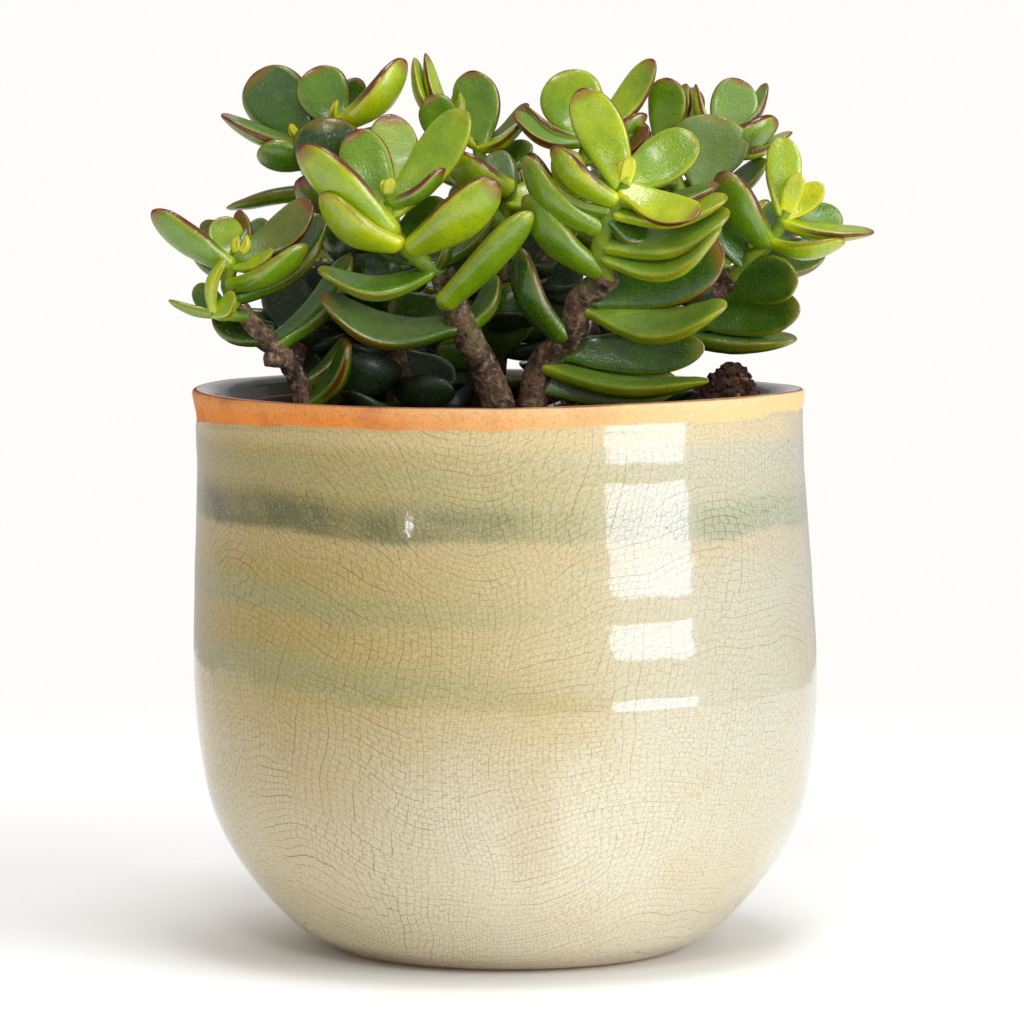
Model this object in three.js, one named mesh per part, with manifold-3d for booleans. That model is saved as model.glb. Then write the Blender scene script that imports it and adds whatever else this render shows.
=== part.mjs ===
// A jade plant in a glazed ceramic cover pot, in millimetres, +Z up.
// The origin is the centre of the pot's flat foot, and +Y points away from the front.
import * as THREE from 'three';
import { mergeVertices } from 'three/addons/utils/BufferGeometryUtils.js';
import Module from 'manifold-3d';

const wasm = await Module();
wasm.setup();

// Driving dimensions of the cover pot
const POT_HEIGHT = 127;
const POT_WALL = 5;
const POT_FLOOR = 8;
const FOOT_RADIUS = 35;
const POT_SIDES = 32;
const RIM_LEAN = -2.3;      // the rim sagged this far to the left in the kiln
const RIM_LEAN_POWER = 1.8;
const RIM_DIP = 1.6;        // at the right the rim rises towards the front and dips to the back

// The outside of the cover pot from the foot up: [radius, height]
const POT_OUTSIDE = [
  [FOOT_RADIUS, 0], [43, 2.2], [49.5, 6.5], [56.5, 14], [62.8, 23], [67.5, 34], [69.8, 48],
  [70.4, 64], [69.8, 88], [68.3, 108], [68.3, 116], [69.3, POT_HEIGHT - 1],
];

// Driving dimensions of the plastic grow pot that stands in the cover pot
const GAP = 0.3;            // clearance between pieces that touch
const GROW_RIM_RADIUS = 60;
const GROW_BASE_RADIUS = 42;
const GROW_WALL = 1.2;
const GROW_TOP = 123.5;
const GROW_BASE = POT_FLOOR + GAP;
const GROW_LIP = 9;         // height of the folded band at the rim
const GROW_FLARE = 1.2;     // how far the band leans in from its top edge to the pot's wall
const GROW_SIDES = 20;
const DRAIN_HOLES = 4;
const DRAIN_RADIUS = 4;
const DRAIN_RING = 27;

// The compost
const SOIL_TOP = 120.5;
const SOIL_SIDES = GROW_SIDES;     // so that the faces of the compost lie along the pot's
const SOIL_RINGS = [1, 0.85, 0.66, 0.43, 0.2];     // shares of the edge radius
const SOIL_BUMP = 1.1;
// Heaps of crumbs on the compost: [x, y, radius, height]
const HEAPS = [[48, 0, 13, 14], [14, -12, 9, 3], [-36, 10, 12, 3], [-8, 36, 16, 3], [26, 26, 13, 4]];

const SEED = 7;

function makeRandom(seed) {
  let state = seed >>> 0;
  return () => {
    state = (Math.imul(state, 1664525) + 1013904223) >>> 0;
    return state / 4294967296;
  };
}

const vec = (x, y, z) => new THREE.Vector3(x, y, z);
const TO_VIEWER = vec(0, -1, 0);

// Solids from closed three.js geometry, and back
function toSolid(geometry) {
  const bare = geometry.clone();
  bare.deleteAttribute('normal');
  bare.deleteAttribute('uv');
  const merged = mergeVertices(bare, 1e-4);
  const index = merged.index.array;
  const kept = [];
  for (let i = 0; i < index.length; i += 3) {
    const [a, b, c] = [index[i], index[i + 1], index[i + 2]];
    if (a !== b && b !== c && c !== a) kept.push(a, b, c);
  }
  return new wasm.Manifold(new wasm.Mesh({
    numProp: 3,
    vertProperties: Float32Array.from(merged.attributes.position.array),
    triVerts: Uint32Array.from(kept),
  }));
}

function toMesh(name, solid, material) {
  const mesh = solid.getMesh();
  const geometry = new THREE.BufferGeometry();
  geometry.setAttribute('position', new THREE.BufferAttribute(mesh.vertProperties, 3));
  geometry.setIndex(new THREE.BufferAttribute(mesh.triVerts, 1));
  geometry.computeVertexNormals();
  const result = new THREE.Mesh(geometry, material);
  result.name = name;
  return result;
}

function union(solids) {
  return solids.reduce((sum, solid) => sum.add(solid));
}

// The biggest body of a cut piece; loose scraps are dropped
function biggest(solid) {
  return solid.decompose().sort((a, b) => b.volume() - a.volume())[0];
}

// A closed skin over rings of points, with a point at each end
function skin(first, rings, last) {
  const count = rings[0].length;
  const points = [first, ...rings.flat(), last];
  const end = points.length - 1;
  const faces = [];
  const at = (ring, i) => 1 + ring * count + (i % count);
  for (let i = 0; i < count; i++) {
    faces.push(0, at(0, i + 1), at(0, i));
    faces.push(end, at(rings.length - 1, i), at(rings.length - 1, i + 1));
    for (let ring = 0; ring < rings.length - 1; ring++) {
      faces.push(at(ring, i), at(ring, i + 1), at(ring + 1, i + 1));
      faces.push(at(ring, i), at(ring + 1, i + 1), at(ring + 1, i));
    }
  }
  const geometry = new THREE.BufferGeometry().setFromPoints(points);
  geometry.setIndex(faces);
  return toSolid(geometry);
}

// A turned piece from a profile of [radius, height] that starts and ends on the axis
function turned(profile, sides) {
  const geometry = new THREE.LatheGeometry(profile.map(([r, z]) => new THREE.Vector2(r, z)), sides);
  geometry.rotateX(Math.PI / 2);
  return geometry;
}

// Cover pot: one shell from the foot over the rim to the inner floor
function coverPot() {
  const inside = POT_OUTSIDE.filter(([, z]) => z > POT_FLOOR && z < POT_HEIGHT - 2)
    .filter((_, i) => i % 2 === 0).map(([r, z]) => [r - POT_WALL, z]).reverse();
  const floorRadius = inside[inside.length - 1][0] - POT_WALL / 2;
  const rimRadius = POT_OUTSIDE[POT_OUTSIDE.length - 1][0];
  const rim = [[rimRadius - 1, POT_HEIGHT], [rimRadius - POT_WALL + 1, POT_HEIGHT - 0.1],
    [rimRadius - POT_WALL, POT_HEIGHT - 1.2]];
  const profile = [[0, 0], ...POT_OUTSIDE, ...rim, ...inside, [floorRadius, POT_FLOOR], [0, POT_FLOOR]];
  const geometry = turned(profile, POT_SIDES);
  const position = geometry.attributes.position;
  for (let i = 0; i < position.count; i++) {
    const [x, y, z] = [position.getX(i), position.getY(i), position.getZ(i)];
    const height = Math.max(0, z / POT_HEIGHT);
    const right = Math.max(0, x) / rimRadius;
    position.setX(i, x + RIM_LEAN * height ** RIM_LEAN_POWER);
    position.setZ(i, z - RIM_DIP * (y / rimRadius) * right * height ** 12);
  }
  return toSolid(geometry);
}

// Grow pot: a thin tapered shell with a folded rim band and drain holes
const growRadius = (z) => {
  const share = (z - GROW_BASE) / (GROW_TOP - GROW_LIP - GROW_BASE);
  return GROW_BASE_RADIUS + (GROW_RIM_RADIUS - 1.5 - GROW_BASE_RADIUS) * share;
};

function growPot() {
  const shoulder = GROW_TOP - GROW_LIP;
  const profile = [
    [0, GROW_BASE], [GROW_BASE_RADIUS, GROW_BASE], [growRadius(shoulder), shoulder],
    [GROW_RIM_RADIUS, shoulder + 0.5], [GROW_RIM_RADIUS + 0.8, GROW_TOP],
    [GROW_RIM_RADIUS - 0.6, GROW_TOP], [GROW_RIM_RADIUS - GROW_FLARE - GROW_WALL, shoulder],
    [GROW_BASE_RADIUS - GROW_WALL, GROW_BASE + GROW_WALL], [0, GROW_BASE + GROW_WALL],
  ];
  let pot = toSolid(turned(profile, GROW_SIDES));
  for (let i = 0; i < DRAIN_HOLES; i++) {
    const angle = (i + 0.5) * 2 * Math.PI / DRAIN_HOLES;
    const drill = new THREE.CylinderGeometry(DRAIN_RADIUS, DRAIN_RADIUS, 8, 8).rotateX(Math.PI / 2);
    drill.translate(DRAIN_RING * Math.cos(angle), DRAIN_RING * Math.sin(angle), GROW_BASE);
    pot = pot.subtract(toSolid(drill));
  }
  return pot;
}

// Compost: fills the grow pot, with a bumpy top and a few heaps
function soilHeight(x, y) {
  const waves = Math.sin(x * 0.31 + 1) * Math.cos(y * 0.27) + 0.6 * Math.sin(x * 0.7 - y * 0.5);
  let z = SOIL_TOP + SOIL_BUMP * waves;
  for (const [hx, hy, radius, height] of HEAPS) {
    const away = ((x - hx) ** 2 + (y - hy) ** 2) / radius ** 2;
    z += height * Math.exp(-2 * away);
  }
  return z;
}

function soil() {
  const shoulder = GROW_TOP - GROW_LIP;
  const floor = GROW_BASE + GROW_WALL + GAP;
  const base = GROW_BASE_RADIUS - GROW_WALL - 2 * GAP;
  const edge = GROW_RIM_RADIUS - GROW_FLARE - GROW_WALL - 2 * GAP;
  const ring = (radius, height) => Array.from({ length: SOIL_SIDES }, (_, i) => {
    const angle = i * 2 * Math.PI / SOIL_SIDES;
    const [x, y] = [radius * Math.cos(angle), radius * Math.sin(angle)];
    return vec(x, y, height ?? soilHeight(x, y));
  });
  const rings = [ring(base, floor), ring(edge, shoulder)];
  for (const share of SOIL_RINGS) rings.push(ring(edge * share));
  return skin(vec(0, 0, floor), rings, vec(0, 0, soilHeight(0, 0)));
}

// Stems: a round section swept along a smooth curve through [x, y, z, radius]
// Wood and green stems have so many sides, and so many rings from one listed point to the next
const WOOD = { sides: 7, steps: 2 };
const GREEN = { sides: 6, steps: 1 };

function curvePoint(points, place) {
  const last = points.length - 1;
  const i = Math.min(Math.floor(place), last - 1);
  const t = place - i;
  const pick = (k) => points[Math.max(0, Math.min(last, k))];
  const [a, b, c, d] = [pick(i - 1), pick(i), pick(i + 1), pick(i + 2)];
  return b.map((_, k) => 0.5 * (2 * b[k] + (c[k] - a[k]) * t
    + (2 * a[k] - 5 * b[k] + 4 * c[k] - d[k]) * t * t + (3 * b[k] - a[k] - 3 * c[k] + d[k]) * t ** 3));
}

function stemSolid(points, { sides, steps }, grow = 0) {
  const rings = [];
  const last = (points.length - 1) * steps;
  const centres = Array.from({ length: last + 1 }, (_, i) => curvePoint(points, i / steps));
  const heading = (i) => {
    const [a, b] = [centres[Math.max(0, i - 1)], centres[Math.min(last, i + 1)]];
    return vec(b[0] - a[0], b[1] - a[1], b[2] - a[2]).normalize();
  };
  for (let i = 0; i <= last; i++) {
    const along = heading(i);
    const side = TO_VIEWER.clone().cross(along).normalize();
    const front = along.clone().cross(side);
    const push = i === last ? grow : 0;
    const centre = vec(...centres[i]).addScaledVector(along, push);
    const radius = centres[i][3] + grow;
    rings.push(Array.from({ length: sides }, (_, k) => {
      const angle = k * 2 * Math.PI / sides;
      return centre.clone().addScaledVector(side, radius * Math.cos(angle))
        .addScaledVector(front, radius * Math.sin(angle));
    }));
  }
  const start = vec(...centres[0]);
  const end = vec(...centres[last]).addScaledVector(heading(last), grow);
  return skin(start, rings, end);
}

// Leaves
// Shares of a leaf's length where it gets a ring of points
const WIDE_STATIONS = [0.16, 0.42, 0.72, 0.93];
const SLIM_STATIONS = [0.14, 0.5, 0.88];
const BUD_STATIONS = [0.3, 0.75];
const WIDE = 10.5;          // leaves from this width up get one ring more
const BUD = 4;              // and below this width one ring fewer
const FOOT_SINK = 0.9;      // a leaf's foot starts this far out from the stem's centre line
const TIP_SINK = 0.3;       // and at least this share of a stem step below the stem's end
const PETIOLE = 0.32;       // width of the leaf's foot as a share of its full width
const WIDEST = 0.62;        // where along the leaf it is widest
const LEAF_BEND = 0.12;     // how far the middle hangs below the chord, as a share of the length
const LEAF_CUP = 0.1;

function leafOutline(t) {
  if (t < WIDEST) return PETIOLE + (1 - PETIOLE) * Math.sin(Math.PI / 2 * t / WIDEST) ** 1.5;
  return (1 - ((t - WIDEST) / (1 - WIDEST)) ** 2.4) ** 0.55;
}

const leafThickness = (width) => 1.5 + 0.28 * width;
const leafFullness = (t) => (0.82 + 0.25 * Math.sin(Math.PI * t)) * Math.sqrt(1 - t ** 5);

// A leaf from its foot to its tip; face is the way its upper side looks
function leafSolid({ foot, reach, width, face, bend = LEAF_BEND }, grow = 0) {
  const length = reach.length();
  const along = reach.clone().normalize();
  const up = face.clone().addScaledVector(along, -face.dot(along)).normalize();
  const side = up.clone().cross(along);
  const thickness = leafThickness(width) + 2 * grow;
  const stations = width < BUD ? BUD_STATIONS : width < WIDE ? SLIM_STATIONS : WIDE_STATIONS;
  const start = foot.clone().addScaledVector(along, FOOT_SINK);
  const run = length - FOOT_SINK;
  const rings = stations.map((t) => {
    const half = leafOutline(t) * width / 2 + grow;
    const deep = leafFullness(t) * thickness;
    const sag = -4 * bend * length * t * (1 - t);
    const centre = start.clone().addScaledVector(along, run * t).addScaledVector(up, sag);
    const place = (across, high) => centre.clone().addScaledVector(side, across * half)
      .addScaledVector(up, high * deep + LEAF_CUP * half * Math.abs(across) ** 2);
    return [place(1, 0), place(0, 0.4), place(-1, 0), place(-0.5, -0.56), place(0.5, -0.56)];
  });
  const tip = foot.clone().add(reach).addScaledVector(along, grow);
  return skin(start, rings, tip);
}

// The way a leaf's upper side looks, turned by so many degrees from the viewer to its left
function turnedFace(reach, turn) {
  const along = reach.clone().normalize();
  const facing = TO_VIEWER.clone().addScaledVector(along, -TO_VIEWER.dot(along)).normalize();
  const left = facing.clone().cross(along);
  const angle = THREE.MathUtils.degToRad(turn);
  return facing.multiplyScalar(Math.cos(angle)).addScaledVector(left, Math.sin(angle));
}

// Woody stems: for each node its paths of [x, y, z, radius]; the first is the main stem
const WOODS = {
  stem_left: [
    [[-44, -13, 112, 3.3], [-45.3, -13.5, 123, 2.8], [-47.6, -15, 131, 2.4], [-52, -16, 137, 2.6],
      [-56, -16, 140.8, 2.5], [-59.8, -16, 146, 2.4]],
    [[-50, -15.5, 134.5, 2.2], [-54, -17.5, 134.6, 1.7]],
    [[-48.5, -14, 132, 2.4], [-47.5, -3, 138, 2.4], [-47, 9, 142, 2.3]],
  ],
  stem_centre_left: [
    [[-1, -6, 112, 4], [-1.8, -7, 122, 3.8], [-4.8, -9, 130.6, 3.5], [-7.9, -11, 137, 3.3],
      [-11.5, -14, 145, 3.2], [-14.9, -18, 154.5, 2.9]],
  ],
  stem_centre_right: [
    [[5, -4, 112, 3.6], [5.5, -4, 124, 3.5], [7.2, -6, 132, 3.2], [10, -8, 136, 3], [14.5, -11, 140, 3],
      [16, -14, 147, 3], [22.5, -19, 153.5, 3.1]],
  ],
  stem_back_centre: [
    [[-6, 10, 112, 4.2], [-5, 11, 124, 3.9], [-3, 12, 140, 3.4], [-2, 11, 155, 2.7]],
    [[-3, 12, 138, 3], [5, 10, 150, 2.7], [11.5, 8, 161, 2.4]],
    [[-3.5, 12, 136, 2.9], [-3, 22, 148, 2.6], [-2, 27, 158, 2.3]],
  ],
  stem_right: [
    [[22, 8, 112, 4.2], [24, 8, 124, 3.9], [34, 8, 136, 3.4], [43.5, 6, 145.5, 3], [51, 4, 151.5, 2.7]],
    [[34, 8, 136, 3], [38, 10, 148, 2.7], [42, 11, 159, 2.4]],
    [[38, 10, 147, 2.4], [34, 19, 157, 2.2], [31, 25, 166, 2]],
  ],
  stem_back_left: [
    [[-16, 20, 112, 4], [-18, 22, 124, 3.7], [-24, 30, 138, 3.1], [-32, 38, 150, 2.5]],
    [[-20, 25, 129, 3], [-14, 36, 139, 2.7], [-9, 46, 148, 2.4]],
  ],
  stem_back_right: [
    [[14, 24, 112, 3.8], [16, 26, 124, 3.5], [22, 36, 138, 3], [24, 43, 151, 2.4]],
    [[18.5, 30, 130, 2.8], [32, 34, 141, 2.6], [45, 34, 150, 2.3]],
  ],
  stem_upper_left: [
    [[-22, 6, 112, 4], [-24, 6, 124, 3.7], [-28, 6, 142, 3.1], [-34, 6, 157, 2.8], [-38, 6, 167, 2.6]],
    [[-29, 6, 145, 2.7], [-32, 16, 156, 2.4], [-34, 23, 166, 2.2]],
  ],
};

// Leafy shoots seen from the front. Shoots with one node name are fused.
// stem: [x, y, z, radius]. leaves: [place along the stem, reach x, reach y, reach z, width, turn, bend]
const SHOOTS = [
  { node: 'head_front_right',
    stem: [[22, -18.5, 152, 2.8], [20.5, -21, 157, 2.8], [21, -24, 163, 2.7], [23.5, -26, 169, 2.3],
      [26, -27, 174, 1.6]],
    leaves: [
      [4, 1, -1, 6, 3.4, 0], [4, -0.8, 1.4, 5, 3, 0],
      [3.8, -9.5, 4, 21.5, 10.5, 5], [3.8, 16, 3, 11, 11.5, 20],
      [3.9, 15.5, -12, -6, 9, 50], [3.2, -14.5, -3, 12, 7.5, -105],
      [3.3, 22.5, 4, 3, 8, 75], [2.8, -16, 2, 9, 5.5, -90],
      [2.8, 25.5, -2, 3, 8, 70], [2, -18, 1, 17, 8, -105],
      [1.8, 28, -5, 7.5, 10, 80], [1.2, 26.5, -10, 6, 11.5, 60, 0.2],
      [0.3, -18, -3, 18, 7, -110],
    ] },
  { node: 'head_front_left',
    stem: [[-14.5, -17.5, 153, 2.7], [-18.5, -20, 157.5, 2.6], [-22.5, -22, 163, 2.4], [-25, -23, 168, 2],
      [-26, -23, 171.5, 1.5]],
    leaves: [
      [4, 0.5, -1, 3.6, 3, 0], [4, -1.2, 0.8, 3.2, 2.6, 0],
      [3.8, -5, 5, 14.5, 11.5, 0], [3.8, 11.5, -4, 6, 5, 110],
      [3, -20.6, -2, 15.5, 10, -140], [3.5, 16.5, 4, 21.3, 9, 25],
      [3.4, -0.5, 9, 20.5, 11.5, 0], [1.7, -19, -7, 12, 11, -120],
      [1.4, 16, -9, 17, 10.5, 150, 0.08], [0.5, -25.5, -6, 0, 9, -75, 0.16],
      [0.7, 14.5, 6, 13, 8, 60], [0.5, 3, -2, 9, 6, 90],
    ] },
  { node: 'head_left_low',
    stem: [[-60.3, -16, 144.5, 2.3], [-62.5, -16, 151, 2.1], [-61.5, -16, 155.5, 1.8], [-59.5, -16, 159, 1.4]],
    leaves: [
      [3, -0.8, -0.5, 3.2, 2.6, -90], [3, 1.2, 0, 3.4, 2.6, 90],
      [1.9, -17.8, -2, 12.6, 8.8, -135, 0.02], [1, 18, -5, 9.3, 8.5, 115],
      [0.6, 21, 6, 18, 11, 60], [1.4, -9, 6, 7.6, 5, -60],
      [2, -7, 7, 9.5, 6, 0], [2, 9.2, -7, 3.2, 5, 60],
      [2.2, -2.8, 4, 9.8, 8.5, -20], [2.5, 16.6, 2, 12, 9.5, 35],
      [2.8, -0.5, 5, 9, 4.5, 30, 0.25], [2.6, 6, 6, 7.5, 6, 0],
    ] },
  { node: 'head_left_side',
    stem: [[-58.5, -17, 144, 1.8], [-63, -20, 144.6, 1.6], [-66, -21, 145.6, 1.4]],
    leaves: [
      [1.6, 2, -1, 12, 5, -100], [1.4, -11.2, 1, 2.8, 4, -95, 0.04],
      [1.7, 4.8, -6, 3.7, 5.5, 40], [1, -7, 7, 6, 6, 0],
    ] },
  { node: 'head_upper_left',
    stem: [[-38, 6, 165.5, 2.5], [-40, 5, 173, 2.4], [-43, 4.5, 179, 2], [-47, 4, 183.5, 1.5]],
    leaves: [
      [3, -2.5, -1, 3, 3, -60], [3, 0.5, 1.5, 3.2, 2.6, 0],
      [2.6, -12, 5, 16, 15.5, 10], [2.5, -19.7, -3, 7, 9, -80, 0.05],
      [2, -13.5, -6, 1.5, 9, -140, 0.05], [1, -1.5, -8, 15, 16, 180],
      [0.8, -24.5, 2, -4, 9, -90, -0.05], [0.3, -9, -6, 7, 8, -150],
    ] },
  { node: 'head_upper_left',
    stem: [[-40.5, 5, 174, 2.2], [-40, 4, 181, 1.9], [-37.5, 2.5, 188, 1.5]],
    leaves: [
      [2, -1.2, -2, 4, 3.2, -70], [2, 1, 1.5, 3.5, 2.6, 0],
      [1.8, -6, 1, 12.3, 12, 0], [1.9, 14.6, 0, 13.4, 11, 120],
      [1.8, 4.5, 5, 9.5, 6.5, -20], [1, 12, 7, 4, 9, 60],
    ] },
  { node: 'head_top_centre',
    stem: [[-2, 11, 154, 2.4], [-4, 11, 165, 2.3], [-6, 10.5, 175, 2.1], [-7, 10, 183, 1.6]],
    leaves: [
      [3, -12, 3, 19.5, 6, -70], [3, -1.5, 2, 15.5, 11, 15],
      [2.8, 10, -3, 5, 6, 80], [3, 11.5, 6, 8, 6, 60],
      [2, 11, 6, 7, 8, 40], [1.8, -12, 7, 6, 9, -40],
      [0.8, -14, 2, 4, 9, -60],
    ] },
  { node: 'head_top_centre',
    stem: [[-5, 11, 169, 1.9], [-11, 11, 179, 1.7], [-14.5, 11, 187, 1.3]],
    leaves: [
      [2, -7, 0, 14.5, 6, -70], [1.2, -6, -4, 12, 9, -10], [2, 3, 3, 7, 5, 60],
    ] },
  { node: 'head_centre',
    stem: [[-2.5, 10, 153, 2.2], [-2, 4, 162, 2.1], [-0.5, -1, 169.5, 1.8], [0.5, -3, 173, 1.4]],
    leaves: [
      [2.8, -14, -5, 7, 9.5, -130], [2, 9, 4, 3, 8, 40],
      [2.4, -3, 8, 9, 8, 0], [1.3, -11, -6, 8, 9, -150],
    ] },
  { node: 'head_top_right_centre',
    stem: [[11.2, 8, 160, 2.2], [14, 7.5, 170, 2.1], [17, 6.5, 179, 1.8], [18.5, 6, 184, 1.4]],
    leaves: [
      [3, -6.5, 3, 14.3, 14.5, 0], [2.9, -17.5, -3, 5, 7.5, -60, 0.14],
      [3, -15, 3, 6.5, 5, -100], [3, 14.5, 2, 17, 7.5, 50],
      [2.9, 13, -3, 5, 6.5, 120], [2.3, 14.5, -1, 4.5, 9, 150],
      [1.9, 15, -7, 7, 6, 40], [1, -1.5, -8, 11, 8, 180], [1, -9.5, -3, 10, 7, -120],
      [1.2, 12, 8, 3, 9, 40],
    ] },
  { node: 'head_top_right',
    stem: [[42, 11, 158, 2.2], [40, 11.5, 168, 2.1], [37, 12, 177, 1.8], [34.5, 12, 184, 1.4]],
    leaves: [
      [2.9, 3.6, -1, 13.3, 8, 40], [3, 6, 4, 11.5, 6, 60], [3, 9, 9, 10, 8, 0],
      [1.6, -14, 2, 4, 9, -50],
    ] },
  { node: 'head_top_right',
    stem: [[42, 11, 166, 2], [46, 11.5, 176, 1.8], [49, 12, 186, 1.3]],
    leaves: [
      [2, -6.5, -1, 9.5, 5, -90], [2, 4, 4, 10.5, 11, 0], [2, 10, 7, 9.5, 5, 60],
      [0.6, 3, -3, 17, 18.5, 0], [1.6, 13, 2, 2, 8, 110], [1.4, 17.5, 6, 4, 6, 80],
      [0.3, 16, 4, 10, 8, 60],
    ] },
  { node: 'head_right',
    stem: [[50.5, 4.2, 150.8, 2.4], [54, 3, 155, 2.3], [58.5, 1, 159.5, 2.2], [61, 0.5, 163, 2], [63, 0, 167, 1.5]],
    leaves: [
      [3.9, -1, 3, 17, 8.5, -10], [4, 2.5, -2, 8.5, 5, 0],
      [4, 8, -1, 6, 6, 20], [2, -11, -6, 16.5, 10.5, -140],
      [3.4, 20.5, -4, -2.5, 7, 75, 0.05], [3.6, 13.5, 6, -1, 9, 20],
      [2.2, 16.5, -7, 0, 7, 110], [1, 18, 7, 3, 11, 45],
      [1, -5, -2, 11.5, 8, -30], [2.5, 5, 13, 6, 10, 0],
    ] },
];

// Old leaves on the wood: [name, x, y, z of the foot, reach x, reach y, reach z, width, turn, bend]
const OLD_LEAVES = [
  ['leaf_left_1', -54.5, -16, 138.6, 19.5, 4, 18, 8, 100],
  ['leaf_left_2', -45.4, -14, 124.5, 9.9, -4, 14.5, 8, 70],
  ['leaf_centre_left_1', -10.5, -13, 142.5, -31.5, -8, 5.5, 9, -75, 0.17],
  ['leaf_centre_left_2', -13.2, -17, 147.3, 18.5, -9, 20.5, 7.5, 115, 0.02],
  ['leaf_centre_left_3', -10, -12.5, 141.5, 7.5, 3, 11.5, 7, 60],
  ['leaf_centre_left_4', -11, -13.5, 144, -16, 6, 2, 9, -20],
  ['leaf_centre_right_1', 18, -15.5, 149, 30, -1, 12, 16, 10],
  ['leaf_centre_right_2', 15.8, -13, 146, 32.5, -15, 0.5, 10.5, 65, 0.17],
  ['leaf_centre_right_3', 13, -10, 139, -10, -3, 21.5, 8, -80],
  ['leaf_centre_right_4', 11, -8, 136.8, 33, -6, 0, 10, 10, 0.06],
  ['leaf_centre_right_5', 7.5, -6.5, 133, 37, -18, -3, 8, 75, 0.08],
  ['leaf_centre_right_6', 6.5, -5, 129, 32, -7, -0.5, 10, 10, 0.05],
  ['leaf_back_centre_1', -4, 11.5, 134, 8, -8, 16, 13, 180],
  ['leaf_right_1', 47.5, 5, 149, 17.5, -14, 3, 11, 10],
  ['leaf_right_2', 40, 7, 142, 26, -8, 1.5, 11, 15],
  ['leaf_right_3', 37, 8, 139.3, 28.5, -4, -1.5, 9, 72, 0.06],
  ['leaf_upper_left_1', -29, 6, 146, -3, -8, 15, 13, 180],
  ['leaf_upper_left_2', -32, 6, 153, -8, -6, 13, 11, 180],
  ['leaf_upper_left_3', -25, 6, 130, -16, -10, 2, 12, -150],
  ['leaf_upper_left_4', -24.5, 6, 126, 12, -13, 1.5, 9, 150],
  ['leaf_back_centre_2', -3.5, 12, 136, -13, -7, -1, 9, -150],
  ['leaf_back_centre_3', -3, 12, 142, -18, -8, 2, 12, -160],
  ['leaf_back_centre_4', -3, 12, 143, 13, 1, -2, 10, 170],
  ['leaf_right_4', 27, 8, 128, -14, -6, 8, 11, 170],
  ['leaf_right_5', 33, 8, 135, 6, -6, 16, 12, 180],
  ['leaf_back_1', -24, 30, 138, -22, 6, 2, 10, -90],
  ['leaf_back_2', -13, 35, 138, 0, 24, 4, 11, 0],
  ['leaf_back_3', 22, 36, 138, 22, 10, 2, 11, 80],
  ['leaf_left_3', -54, -15.5, 140, -12, 4, 4.6, 8.5, -40],
  ['leaf_left_4', -47.5, -12, 128.5, 11, 5, 10.5, 6, 75],
];

// Shoots at the back, made by the plant's own rule: pairs of leaves, each pair a quarter turn on
// [node, foot of the stem [x, y, z], its tip [x, y, z], first azimuth, leaf length]
const BACK_SHOOTS = [
  ['head_back_left_low', [-47, 8, 141.5], [-50, 20, 152], 90, 18],
  ['head_back_left', [-31.5, 37.5, 149.5], [-46, 47, 156], 70, 21],
  ['head_back_upper_left', [-34, 22.5, 165.5], [-35, 29, 176], 10, 20],
  ['head_back_middle', [-9, 45.5, 147.5], [-7, 54, 160], 40, 21],
  ['head_back_top', [-2, 26.5, 157.5], [3, 36, 169], 80, 19],
  ['head_back_right', [24, 42.5, 150.5], [24, 51, 163], 15, 21],
  ['head_back_upper_right', [31, 24.5, 165.5], [29, 31, 176], 60, 19],
  ['head_back_right_low', [44.5, 34, 149.5], [56, 36, 160], 50, 22],
];
const BACK_PAIRS = 4;

function backShoot([node, foot, tip, azimuth, length], random) {
  const middle = foot.map((v, k) => (v + tip[k]) / 2);
  const stem = [[...foot, 2.2], [...middle, 1.9], [...tip, 1.3]];
  const axis = vec(...tip).sub(vec(...foot)).normalize();
  const across = vec(1, 0, 0).addScaledVector(axis, -axis.x).normalize();
  const ahead = axis.clone().cross(across);
  const leaves = [];
  for (let pair = 0; pair < BACK_PAIRS; pair++) {
    const age = pair / (BACK_PAIRS - 1);
    for (const half of [0, 1]) {
      const angle = azimuth + 90 * pair + 180 * half + 24 * (random() - 0.5);
      const rise = THREE.MathUtils.degToRad(62 - 50 * age + 14 * (random() - 0.5));
      const size = length * (0.5 + 0.5 * age ** 0.7) * (0.9 + 0.2 * random());
      const turn = THREE.MathUtils.degToRad(angle);
      const out = across.clone().multiplyScalar(Math.cos(turn)).addScaledVector(ahead, Math.sin(turn));
      const reach = out.multiplyScalar(size * Math.cos(rise)).addScaledVector(axis, size * Math.sin(rise));
      const place = 1.72 - 0.45 * pair;
      leaves.push({ foot: vec(...curvePoint(stem, place)), reach, width: size * 0.46, face: axis });
    }
  }
  return { node, stem, leaves };
}

// Leaves listed near the end of a stem grow from just below it
function listedShoot({ node, stem, leaves }) {
  return { node, stem, leaves: leaves.map(([place, x, y, z, width, turn, bend]) => {
    const tip = vec(...curvePoint(stem, place)).add(vec(x, y, z));
    const foot = vec(...curvePoint(stem, Math.min(place, stem.length - 1 - TIP_SINK)));
    const reach = tip.sub(foot);
    return { foot, reach, width, face: turnedFace(reach, turn), bend };
  }) };
}

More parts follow.
